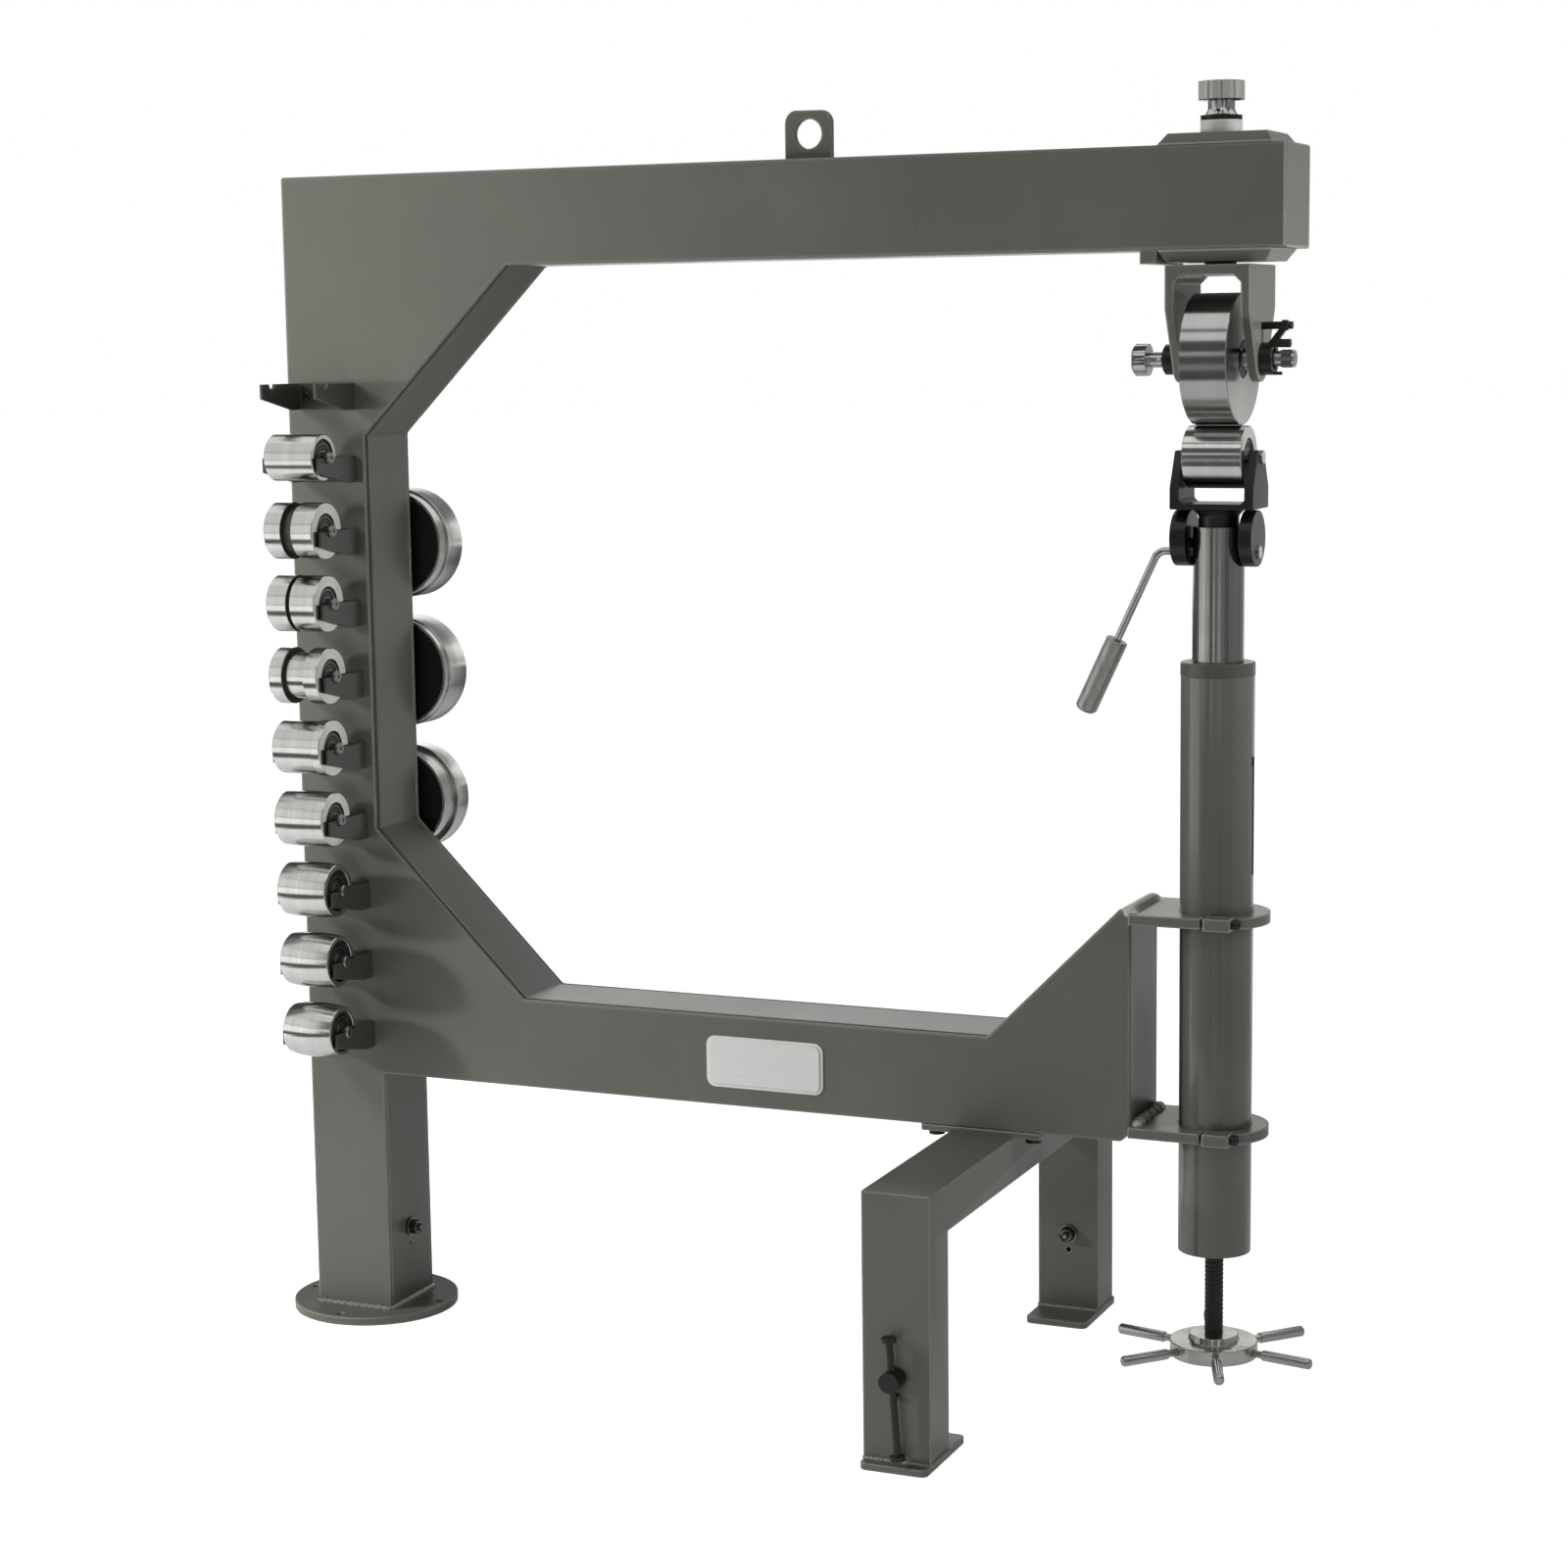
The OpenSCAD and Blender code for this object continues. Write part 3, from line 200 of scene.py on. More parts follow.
def painted(name, colour, edge_colour, roughness, cloud=0.08, peel=0.12, edge=0.0012,
            coat=0.0):
    material, tree, shader = new_material(name)
    place = tree.nodes.new("ShaderNodeTexCoord").outputs["Object"]
    skewed = link(tree, "ShaderNodeMapping", inputs={"Vector": place})
    skewed.inputs["Rotation"].default_value = PATTERN_TURN
    clouds = link(tree, "ShaderNodeTexNoise",
                  {"Scale": CLOUD_SCALE, "Detail": 4.0, "Roughness": 0.55},
                  {"Vector": skewed.outputs["Vector"]})
    specks = link(tree, "ShaderNodeTexNoise", {"Scale": SPECK_SCALE, "Detail": 1.0},
                  {"Vector": skewed.outputs["Vector"]})
    fine = link(tree, "ShaderNodeTexNoise", {"Scale": PEEL_SCALE, "Detail": 1.0},
                {"Vector": skewed.outputs["Vector"]})
    base = linear(colour)
    dark = tuple(c * (1 - CLOUD_REACH * cloud) for c in base[:3]) + (1,)
    light = tuple(min(1, c * (1 + CLOUD_REACH * cloud)) for c in base[:3]) + (1,)
    cloudy = mix_colour(tree, clouds.outputs["Fac"], dark, light)
    speckled = mix_colour(tree, ramp(tree, specks.outputs["Fac"], 0.3, 1.0, 0, 0.15),
                          cloudy, light)
    normal = soft_normal(tree, edge)
    # Edges take the lighter edge colour: partly paint rubbed thin, partly a painted highlight.
    worn_and_lit_colour = mix_colour(tree, edge_wear_and_highlight(tree, normal), speckled, linear(edge_colour))
    tree.links.new(worn_and_lit_colour, shader.inputs["Base Color"])
    rough = ramp(tree, clouds.outputs["Fac"], 0.0, 1.0, roughness - 0.08, roughness + 0.1)
    tree.links.new(rough, shader.inputs["Roughness"])
    bump = link(tree, "ShaderNodeBump", {"Strength": peel, "Distance": 0.0004},
                {"Height": fine.outputs["Fac"], "Normal": normal})
    tree.links.new(bump.outputs["Normal"], shader.inputs["Normal"])
    shader.inputs["Coat Weight"].default_value = coat
    shader.inputs["Coat Roughness"].default_value = COAT_ROUGHNESS
    return material


paint = painted("frame paint", "5f6159", "b4b6ae", 0.3, peel=0.06, edge=0.0035)
tube_paint = painted("tube paint", "555850", "85877f", 0.3, cloud=0.06, peel=0.04, coat=0.8)
bracket_paint = painted("bracket paint", "3c3e39", "6f716b", 0.34, cloud=0.12)
cap_paint = painted("dark cap paint", "474944", "6d6f6a", 0.33)
# The weld paints are the frame's paint made lighter, the clamp welds' much lighter: painted light,
# so that beads left in shade look lit.
weld_paint_lightened = painted("lightened weld paint", "83867d", "b5b8af", 0.28, cloud=0.16)
clamp_weld_paint_lightened = painted("lightened clamp weld paint", "bcbfb4", "c4c7bc", 0.28, cloud=0.16)
seam_shade = painted("seam shade", "30322d", "4a4c46", 0.4, cloud=0.2)
screw_black = painted("screw black", "0a0b09", "1c1d1b", 0.5, cloud=0.2)
black_oxide = painted("black oxide", "0d0e0c", "30312e", 0.32, cloud=0.18, peel=0.08)
black_satin = painted("satin black", "121311", "383a36", 0.36, cloud=0.15)
rubber = painted("caster rubber", "1a1a1a", "2c2c2c", 0.7, cloud=0.2, peel=0.4)
print("painted finishes:", paint.name, weld_paint_lightened.name, black_oxide.name)

# %% [markdown]
# ## Turned steel
# Wheels, anvils and axles come off a lathe, so their marks are rings round the axis. Rings are a
# pattern of two numbers only: how far along the axis a point is, and how far out from it. The
# object's own coordinates give both once the origin is moved to the axis. The grooves also
# smear each reflection along the axis on the tread and outwards on the faces, so the shader is
# anisotropic, with a tangent that points both ways at once.

# %% Turned metal
METAL_EDGE = 0.0006
RING_SCALE, BAND_SCALE = 380.0, 90.0
RING_SHADE = 0.9
ANISOTROPY = 0.75


def turned_metal(name, axis, origin, colour, roughness, mark):
    """Metal with lathe rings round the given axis through origin."""
    material, tree, shader = new_material(name)
    place = tree.nodes.new("ShaderNodeTexCoord").outputs["Object"]
    moved = link(tree, "ShaderNodeVectorMath", inputs={0: place}, operation="SUBTRACT")
    moved.inputs[1].default_value = origin
    split = link(tree, "ShaderNodeSeparateXYZ", inputs={"Vector": moved.outputs["Vector"]})
    across = [letter for letter in "XYZ" if letter != axis]
    flat = link(tree, "ShaderNodeCombineXYZ",
                inputs={letter: split.outputs[letter] for letter in across})
    out = link(tree, "ShaderNodeVectorMath", inputs={0: flat.outputs["Vector"]},
               operation="LENGTH")
    rings = link(tree, "ShaderNodeCombineXYZ",
                 inputs={"X": split.outputs[axis], "Y": out.outputs["Value"]})
    marks = link(tree, "ShaderNodeTexNoise",
                 {"Scale": RING_SCALE, "Detail": 4.0, "Roughness": 0.7},
                 {"Vector": rings.outputs["Vector"]}, noise_dimensions="2D")
    bands = link(tree, "ShaderNodeTexNoise", {"Scale": BAND_SCALE, "Detail": 2.0},
                 {"Vector": rings.outputs["Vector"]}, noise_dimensions="2D")
    smudge = link(tree, "ShaderNodeTexNoise", {"Scale": 12.0, "Detail": 3.0, "Roughness": 0.5},
                  {"Vector": place})
    base = linear(colour)
    dark = tuple(c * RING_SHADE for c in base[:3]) + (1,)
    banded = mix_colour(tree, ramp(tree, bands.outputs["Fac"], 0.3, 0.7), dark, base)
    marked = mix_colour(tree, ramp(tree, marks.outputs["Fac"], 0.35, 0.75, 0, 0.4), banded, dark)
    tree.links.new(marked, shader.inputs["Base Color"])
    rough = ramp(tree, smudge.outputs["Fac"], 0.3, 0.75, roughness - 0.01, roughness + 0.015)
    tree.links.new(rough, shader.inputs["Roughness"])
    outward = link(tree, "ShaderNodeVectorMath", inputs={0: flat.outputs["Vector"]},
                   operation="NORMALIZE")
    grain = link(tree, "ShaderNodeVectorMath", inputs={0: outward.outputs["Vector"]},
                 operation="ADD")
    grain.inputs[1].default_value = [float(letter == axis) for letter in "XYZ"]
    tree.links.new(grain.outputs["Vector"], shader.inputs["Tangent"])
    shader.inputs["Anisotropic"].default_value = ANISOTROPY
    bump = link(tree, "ShaderNodeBump", {"Strength": mark, "Distance": 0.0002},
                {"Height": marks.outputs["Fac"], "Normal": soft_normal(tree, METAL_EDGE)})
    tree.links.new(bump.outputs["Normal"], shader.inputs["Normal"])
    shader.inputs["Metallic"].default_value = 1.0
    return material


# %% [markdown]
# ## Drawn and cast metal
# The post and the lever are drawn or ground lengthwise, so their marks run along them. A noise
# that is squeezed hard in one direction gives long fine scratches. Cast and blasted pieces, such
# as the grip, have a grain with no direction, which is the same noise left unsqueezed.

# %% Drawn, ground and blasted metal


def grained_metal(name, colour, roughness, stretch=(1, 1, 1), scale=600.0, mark=0.2,
                  metallic=1.0, tint=0.75, detail=5.0):
    """Metal whose grain is squeezed along an axis by stretch, with smudges over it."""
    material, tree, shader = new_material(name)
    place = tree.nodes.new("ShaderNodeTexCoord").outputs["Object"]
    squeezed = link(tree, "ShaderNodeMapping", inputs={"Vector": place})
    squeezed.inputs["Scale"].default_value = stretch
    grain = link(tree, "ShaderNodeTexNoise", {"Scale": scale, "Detail": detail, "Roughness": 0.65},
                 {"Vector": squeezed.outputs["Vector"]})
    smudge = link(tree, "ShaderNodeTexNoise", {"Scale": 24.0, "Detail": 5.0, "Roughness": 0.6},
                  {"Vector": place})
    base = linear(colour)
    dark = tuple(c * tint for c in base[:3]) + (1,)
    grained = mix_colour(tree, ramp(tree, grain.outputs["Fac"], 0.3, 0.7), dark, base)
    clouded = mix_colour(tree, ramp(tree, smudge.outputs["Fac"], 0.2, 1.0, 0, 0.35),
                         grained, dark)
    tree.links.new(clouded, shader.inputs["Base Color"])
    rough = ramp(tree, smudge.outputs["Fac"], 0.0, 1.0, roughness - 0.08, roughness + 0.1)
    tree.links.new(rough, shader.inputs["Roughness"])
    bump = link(tree, "ShaderNodeBump", {"Strength": mark, "Distance": 0.0002},
                {"Height": grain.outputs["Fac"], "Normal": soft_normal(tree, METAL_EDGE)})
    tree.links.new(bump.outputs["Normal"], shader.inputs["Normal"])
    shader.inputs["Metallic"].default_value = metallic
    return material


post_steel = grained_metal("ground post steel", "b0b2ae", 0.22, (1, 1, 0.008), 230.0, 0.06,
                           tint=0.62, detail=3.0)
lever_steel = grained_metal("lever steel", "d4d6d3", 0.16, (1, 1, 0.1), 400.0, 0.05)
blasted = grained_metal("blasted aluminium", "bcbdb8", 0.36, scale=420.0, mark=0.4,
                        metallic=0.5, tint=0.8)
plate_metal = grained_metal("name plate metal", "dcddda", 0.3, (0.05, 1, 1), 300.0, 0.02,
                            metallic=0.1, tint=0.94)
grip_metal = grained_metal("cast grip", "b9bab5", 0.34, (1, 1, 0.3), 170.0, 0.5,
                           metallic=0.75, tint=0.6)
collar_metal = grained_metal("collar metal", "d4d5d0", 0.45, scale=500.0, mark=0.2,
                             metallic=0.2, tint=0.86)
bright_steel = grained_metal("bright steel", "c6c7c4", 0.16, scale=500.0, mark=0.06)
dull_steel = grained_metal("dull steel", "7b7c78", 0.35, scale=700.0, mark=0.25)
stub_steel = grained_metal("stub steel", "9c9d99", 0.3, scale=700.0, mark=0.2)
weld_silver = grained_metal("wire brushed weld", "a2a39e", 0.34, scale=500.0, mark=0.5,
                            metallic=0.7, tint=0.6)
print("metals:", post_steel.name, lever_steel.name, blasted.name, plate_metal.name)

# %% [markdown]
# ## Mesh helpers
# Most small pieces are turned, so the main helper spins a profile round an axis. The profile is
# a list of (distance along the axis, radius). A second helper copies a node of the frame, merges
# its loose triangles and rounds its edges. It can also keep only a slice of the node, for nodes
# whose parts have different finishes.

# %% Turning helper
MERGE = 1e-6
SMOOTH_UP_TO = 18
TURN = {
    "X": Matrix.Rotation(radians(90), 4, "Y"),
    "Y": Matrix.Rotation(radians(-90), 4, "X"),
    "-Y": Matrix.Rotation(radians(90), 4, "X"),
    "Z": Matrix.Identity(4),
}


def spun(mesh, profile, steps, closed=False):
    """Spins (along, radius) points, in millimetres, round Z into the bmesh and returns it."""
    ring = [mesh.verts.new(mm(radius, 0, along)) for along, radius in profile]
    pairs = list(zip(ring, ring[1:])) + ([(ring[-1], ring[0])] if closed else [])
    edges = [mesh.edges.new(pair) for pair in pairs]
    bmesh.ops.spin(mesh, geom=ring + edges, cent=(0, 0, 0), axis=(0, 0, 1), angle=2 * pi,
                   steps=steps, use_merge=True)
    bmesh.ops.remove_doubles(mesh, verts=mesh.verts, dist=MERGE)
    bmesh.ops.recalc_face_normals(mesh, faces=mesh.faces)
    return mesh


def placed(mesh, axis, at=(0, 0, 0)):
    """Lays the bmesh's Z along the given axis and moves it to its place."""
    bmesh.ops.transform(mesh, matrix=Matrix.Translation(at) @ TURN[axis], verts=mesh.verts)
    return mesh


def piece(name, mesh, material, body, stands_for=(), sharp=SMOOTH_UP_TO):
    """Makes the bmesh an object of the scene, shaded smooth up to the sharp angle."""
    data = bpy.data.meshes.new(name)
    mesh.to_mesh(data)
    mesh.free()
    data.shade_smooth()
    data.set_sharp_from_angle(angle=radians(sharp))
    data.materials.append(material)
    obj = bpy.data.objects.new(name, data)
    bpy.context.scene.collection.objects.link(obj)
    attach(obj, body)
    if stands_for:
        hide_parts(*stands_for)
    return obj


def turned(name, profiles, material, body, axis, at, steps, stands_for=()):
    """Spins one or more closed profiles into one piece."""
    mesh = bmesh.new()
    for profile in profiles:
        spun(mesh, profile, steps, closed=True)
    return piece(name, placed(mesh, axis, at), material, body, stands_for)


# %% Rounding helper
LOOSE_MERGE = 2e-6
ROUND_OVER = 28
ROUND_SEGMENTS = 2


def joined(*nodes):
    """One bmesh of the nodes, with the loose triangles merged into faces."""
    mesh = bmesh.new()
    for node in nodes:
        mesh.from_mesh(frame["nodes"][node].data)
    bmesh.ops.remove_doubles(mesh, verts=mesh.verts, dist=LOOSE_MERGE)
    return mesh


def sliced(mesh, axis, low, high):
    """Keeps the part of the bmesh from low to high metres along the axis, and closes the cuts."""
    normal = Vector([float(letter == axis) for letter in "XYZ"])
    for place, side in ((low, -1), (high, 1)):
        if place is None:
            continue
        bmesh.ops.bisect_plane(mesh, geom=mesh.verts[:] + mesh.edges[:] + mesh.faces[:],
                               plane_co=normal * place, plane_no=normal * side,
                               clear_outer=True, dist=MERGE)
        bmesh.ops.holes_fill(mesh, edges=[e for e in mesh.edges if e.is_boundary], sides=0)
    return mesh


def rounded(mesh, width):
    """Merges the flat triangles of the bmesh and bevels its edges by width millimetres."""
    bmesh.ops.dissolve_limit(mesh, angle_limit=radians(0.5), verts=mesh.verts, edges=mesh.edges)
    edges = [e for e in mesh.edges
             if len(e.link_faces) == 2 and e.calc_face_angle() > radians(ROUND_OVER)]
    bmesh.ops.bevel(mesh, geom=edges, offset=mm(width), offset_type="OFFSET",
                    segments=ROUND_SEGMENTS, profile=0.5, affect="EDGES", clamp_overlap=True,
                    material=-1)
    bmesh.ops.recalc_face_normals(mesh, faces=mesh.faces)
    return mesh


def softened(node, material, width=0.8, cut=None, name=None):
    """A copy of a node, or of a slice of it, with its edges rounded, which stands for it."""
    mesh = joined(node)
    if cut:
        sliced(mesh, *cut)
    body = frame["nodes"][node]["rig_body"]
    return piece(name or f"{node}_rounded", rounded(mesh, width), material, body,
                 stands_for=(node,))


def dress(material, *nodes):
    """Gives nodes a finish without touching their shape."""
    for node in nodes:
        data = frame["nodes"][node].data
        data.materials.clear()
        data.materials.append(material)


# %% [markdown]
# ## Studio
# The photograph has a pure white ground and soft light from everywhere, with the front faces
# brighter at the left and the tops brightest. The lamps are hidden from reflections, because what
# the steel mirrors is built on its own further down.

# %% World and floor
world = bpy.data.worlds.new("studio")
bpy.context.scene.world = world
world.use_nodes = True
world.node_tree.nodes.clear()
path = world.node_tree.nodes.new("ShaderNodeLightPath")
soft_sky = link(world.node_tree, "ShaderNodeBackground", {"Strength": 0.05})
seen_sky = link(world.node_tree, "ShaderNodeBackground", {"Strength": 1.0})
for sky in (soft_sky, seen_sky):
    sky.inputs["Color"].default_value = (1, 1, 1, 1)
either = link(world.node_tree, "ShaderNodeMath", inputs={0: path.outputs["Is Camera Ray"]},
              operation="MAXIMUM")
world.node_tree.links.new(path.outputs["Is Glossy Ray"], either.inputs[1])
any_seen = link(world.node_tree, "ShaderNodeMath", inputs={0: either.outputs[0]},
                operation="MAXIMUM")
world.node_tree.links.new(path.outputs["Is Transmission Ray"], any_seen.inputs[1])
skies = link(world.node_tree, "ShaderNodeMixShader", inputs={
    0: any_seen.outputs[0], 1: soft_sky.outputs[0], 2: seen_sky.outputs[0]})
link(world.node_tree, "ShaderNodeOutputWorld", inputs={"Surface": skies.outputs[0]})

floor_mesh = bmesh.new()
bmesh.ops.create_grid(floor_mesh, x_segments=2, y_segments=2, size=60)
floor_data = bpy.data.meshes.new("studio_floor")
floor_mesh.to_mesh(floor_data)
floor_mesh.free()
floor = bpy.data.objects.new("studio_floor", floor_data)
bpy.context.scene.collection.objects.link(floor)
floor_paint, floor_tree, floor_shader = new_material("studio floor")
floor_shader.inputs["Base Color"].default_value = (0.8, 0.8, 0.8, 1)
floor_shader.inputs["Roughness"].default_value = 0.9
floor_place = floor_tree.nodes.new("ShaderNodeTexCoord").outputs["Object"]
floor_reach = link(floor_tree, "ShaderNodeVectorMath", inputs={0: floor_place},
                   operation="LENGTH")
floor_white = ramp(floor_tree, floor_reach.outputs["Value"], 1.2, 3.5, 0.93, 1.0)
floor_path = floor_tree.nodes.new("ShaderNodeLightPath")
floor_seen = link(floor_tree, "ShaderNodeMath", inputs={
    0: floor_path.outputs["Is Camera Ray"], 1: floor_white}, operation="MULTIPLY")
floor_glow = link(floor_tree, "ShaderNodeMath", {1: 0.25}, {0: floor_seen.outputs[0]},
                  operation="MAXIMUM")
floor_shader.inputs["Emission Color"].default_value = (1, 1, 1, 1)
floor_tree.links.new(floor_glow.outputs[0], floor_shader.inputs["Emission Strength"])
floor_data.materials.append(floor_paint)
print("studio:", world.name, floor.name)

# %% Lamps


def softbox(name, place, target, size, power, spread=180):
    lamp = bpy.data.lights.new(name, "AREA")
    lamp.shape = "RECTANGLE"
    lamp.size, lamp.size_y = size
    lamp.energy = power
    lamp.spread = radians(spread)
    obj = bpy.data.objects.new(name, lamp)
    obj.location = place
    obj.rotation_euler = (Vector(target) - Vector(place)).to_track_quat("-Z", "Y").to_euler()
    obj.visible_glossy = False
    bpy.context.scene.collection.objects.link(obj)
    return obj


lamps = [
    softbox("left_key", (-1.7, -1.35, 1.08), (0.3, 0, 0.85), (0.18, 0.18), 32),
    softbox("left_high", (-1.3, -1.1, 1.9), (0.0, 0, 1.25), (0.5, 0.5), 27),
    softbox("front_low", (0.6, -2.4, 0.2), (0.7, -0.3, 0.15), (0.6, 0.4), 7),
    softbox("right_side", (3.0, -0.05, 2.0), (1.15, 0, 1.2), (0.8, 0.8), 15),
    softbox("throat_fill", (3.0, 0.0, 1.3), (0.05, 0, 0.95), (0.4, 0.4), 1.8, 40)]
print("lamps:", [lamp.name for lamp in lamps])

# %% [markdown]
# ## What the steel mirrors
# A round bar shows the whole room squeezed into its width. The photograph's bars show a dark room
# with a pale floor and ceiling and a few upright bright strips, so dark curtains stand round the
# object with gaps where the strips are, and pale ones where it shows grey. They are seen in
# reflections only and cast no shadow.

# %% Curtains
ROOM_CENTRE = (0.75, 0.0)
STRIP_COLOUR = (0.99, 1, 0.978, 1)


def curtain(name, start, end, foot, head, grey):
    """An arc from start to end, in degrees from the front towards the right. Its lower and
    upper edges are (radius, height) in metres."""
    mesh = bmesh.new()
    low = mesh.verts.new((0, -foot[0], foot[1]))
    high = mesh.verts.new((0, -head[0], head[1]))
    side = mesh.edges.new((low, high))
    bmesh.ops.spin(mesh, geom=[low, high, side], cent=(0, 0, 0), axis=(0, 0, 1),
                   angle=radians(end - start), steps=24)
    bmesh.ops.rotate(mesh, cent=(0, 0, 0), matrix=Matrix.Rotation(radians(start), 3, "Z"),
                     verts=mesh.verts)
    bmesh.ops.translate(mesh, vec=(*ROOM_CENTRE, 0), verts=mesh.verts)
    data = bpy.data.meshes.new(name)
    mesh.to_mesh(data)
    mesh.free()
    cloth, _, shader = new_material(name)
    shader.inputs["Base Color"].default_value = (0.01, 0.01, 0.01, 1)
    shader.inputs["Roughness"].default_value = 1.0
    shader.inputs["Specular IOR Level"].default_value = 0.0
    shader.inputs["Emission Color"].default_value = STRIP_COLOUR
    shader.inputs["Emission Strength"].default_value = grey
    data.materials.append(cloth)
    obj = bpy.data.objects.new(name, data)
    bpy.context.scene.collection.objects.link(obj)
    obj.visible_camera = False
    obj.visible_diffuse = False
    obj.visible_shadow = False
    return obj


CURTAINS = (
    ("front_floor", -62, 15, (1.6, 0.004), (2.1, 0.004), 0.05),
    ("front_left", -35, 15, (2.1, 0.0), (2.1, 2.46), 0.08),
    ("front_left_band", -42, 15, (2.1, 3.4), (2.1, 3.9), 0.1),
    ("front_spot_1", -13, -9, (2.05, 1.35), (2.05, 1.62), 1.6),
    ("front_spot_2", -5, -2, (2.05, 1.4), (2.05, 1.6), 1.6),
    ("front", 20, 42, (2.1, 0.0), (2.1, 2.4), 0.12),
    ("front_right", 48, 70, (2.1, 0.0), (2.1, 2.4), 0.16),
    ("right", 70, 148, (2.1, 0.0), (2.1, 2.4), 0.3),
    ("back_bright", 148, 168, (2.1, 0.0), (2.1, 1.1), 0.75),
    ("back_dim", 168, 178, (2.1, 0.0), (2.1, 1.1), 0.2),
    ("back_upper", 148, 178, (2.1, 1.1), (2.1, 2.4), 0.35),
    ("back_foot", 178, 262, (2.1, 0.0), (2.1, 0.72), 0.06),
    ("back_strip", 178, 235, (2.1, 0.72), (2.1, 1.5), 1.6),
    ("back_shade", 182, 197, (2.09, 0.83), (2.09, 0.92), 0.2),
    ("back_side", 235, 262, (2.1, 0.72), (2.1, 1.5), 0.06),
    ("back_top", 178, 262, (2.1, 1.5), (2.1, 2.4), 0.06),
    ("left", 262, 282, (2.1, 0.0), (2.1, 2.4), 0.15),
    ("post_left", -34, -14, (2.06, 0.5), (2.06, 0.86), 0.8),
    ("post_line", 1, 9, (2.06, 0.5), (2.06, 0.86), 1.3),
    ("post_right", 22, 36, (2.06, 0.5), (2.06, 0.86), 0.65),
    ("key_foot", 282, 325, (2.1, 0.0), (2.1, 0.22), 0.1),
    ("key_glow", 282, 325, (2.1, 0.24), (2.1, 0.75), 1.3),
    ("key_line", 282, 325, (2.1, 0.75), (2.1, 0.8), 0.1),
    ("key_wall", 282, 325, (2.1, 0.8), (2.1, 1.6), 0.95),
    ("key_rail", 282, 325, (2.1, 1.6), (2.1, 1.66), 0.15),
    ("key_top", 282, 325, (2.1, 1.66), (2.1, 3.4), 0.8))
for name, start, end, foot, head, grey in CURTAINS:
    curtain(f"curtain_{name}", start, end, foot, head, grey)
print("curtains:", len(CURTAINS))

# %% [markdown]
# ## Frame and legs
# The frame is cut from plate and welded, so it keeps the forms of its nodes. The crossbeam and
# the legs were ground flush where they meet, so their two nodes are joined into one skin without
# a seam: the faces where they touch go, and the flat faces on both sides become one.

# %% Paint the frame
dress(paint, "saddle_plate", "nose_bosses")
dress(tube_paint, "outer_tube")
for node, width in (("front_plate", 2.4), ("rear_plate", 2.4), ("throat_web", 3.0),
                    ("outer_web", 3.0), ("foot_plates", 1.0), ("base_plate", 1.2),
                    ("lifting_eye", 1.2), ("post_clamps", 1.2), ("upper_yoke", 1.2)):
    painted_piece = softened(node, paint, width)
    print(painted_piece.name, "faces:", len(painted_piece.data.polygons))
softened("tube_cap", cap_paint, 1.2)

# %% Join the crossbeam and the legs
LEG_DEPTH = mm(54)
TOUCH_GAP, LEVEL_FACE = 1e-5, 0.99
beam_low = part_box("crossbeam")[0]
leg_inner_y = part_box("crossbeam")[1].y - LEG_DEPTH
leg_mesh = joined("crossbeam", "front_legs")
for side in (-1, 1):
    bmesh.ops.bisect_plane(
        leg_mesh, geom=leg_mesh.verts[:] + leg_mesh.edges[:] + leg_mesh.faces[:],
        plane_co=(0, side * leg_inner_y, 0), plane_no=(0, 1, 0), dist=MERGE)
touching = [f for f in leg_mesh.faces
            if abs(f.calc_center_median().z - beam_low.z) < TOUCH_GAP
            and abs(f.normal.z) > LEVEL_FACE
            and abs(f.calc_center_median().y) > leg_inner_y]
bmesh.ops.delete(leg_mesh, geom=touching, context="FACES")
bmesh.ops.remove_doubles(leg_mesh, verts=leg_mesh.verts, dist=LOOSE_MERGE)
bmesh.ops.holes_fill(leg_mesh, edges=[e for e in leg_mesh.edges if e.is_boundary], sides=0)
piece("leg_frame", rounded(leg_mesh, 1.5), paint, "frame",
      stands_for=("crossbeam", "front_legs"))
print("touching faces removed:", len(touching))

# %% [markdown]
# ## Seams
# Along the throat the webs are let in between the two side plates, and a narrow groove is left
# where they meet. A flattened dark rod laid in that groove is painted shade. The runs are read
# from the edges that the web and the plate share.

# %% Seams between plates and webs
SEAM_Y, SEAM_R = mm(-43.6), mm(2.9)
SEAM_FLATNESS = 0.12


def seam_rod(mesh, start, end):
    """A flattened rod from start to end, sunk a little into the web."""
    along = (end - start).normalized()
    across = Vector((0, 1, 0))
    up = along.cross(across)
    lie = Matrix((across, up, along)).transposed().to_4x4()
    middle = (start + end) / 2
    middle.y = SEAM_Y
    bmesh.ops.create_cone(
        mesh, cap_ends=True, segments=12, radius1=SEAM_R, radius2=SEAM_R,
        depth=(end - start).length,
        matrix=Matrix.Translation(middle) @ lie
        @ Matrix.Diagonal((1, SEAM_FLATNESS, 1, 1)))


plate = joined("front_plate")
corners = {(round(v.co.x, 4), round(v.co.z, 4)) for v in plate.verts}
web = joined("throat_web")
seam_mesh = bmesh.new()
for edge in web.edges:
    ends = [vert.co.copy() for vert in edge.verts]
    on_outline = all((round(e.x, 4), round(e.z, 4)) in corners for e in ends)
    if on_outline and max(e.y for e in ends) < 0:
        seam_rod(seam_mesh, *ends)
print("seam faces:", len(seam_mesh.faces))
# The dark rods are painted shade in the groove.
piece("plate_seam_shade", seam_mesh, seam_shade, "frame")

# %% [markdown]
# ## Weld beads
# A hand-laid bead is a row of overlapping puddles. A row of flattened balls, each a little ahead
# of the last, gives the same ripple. The bead round the rear foot was wire brushed and left
# bright; the others are painted over, in the frame's paint made lighter as painted light.

# %% Weld beads
FOOT_TOP = 10
BALL_LENGTH, WOBBLE = 0.8, 0.12


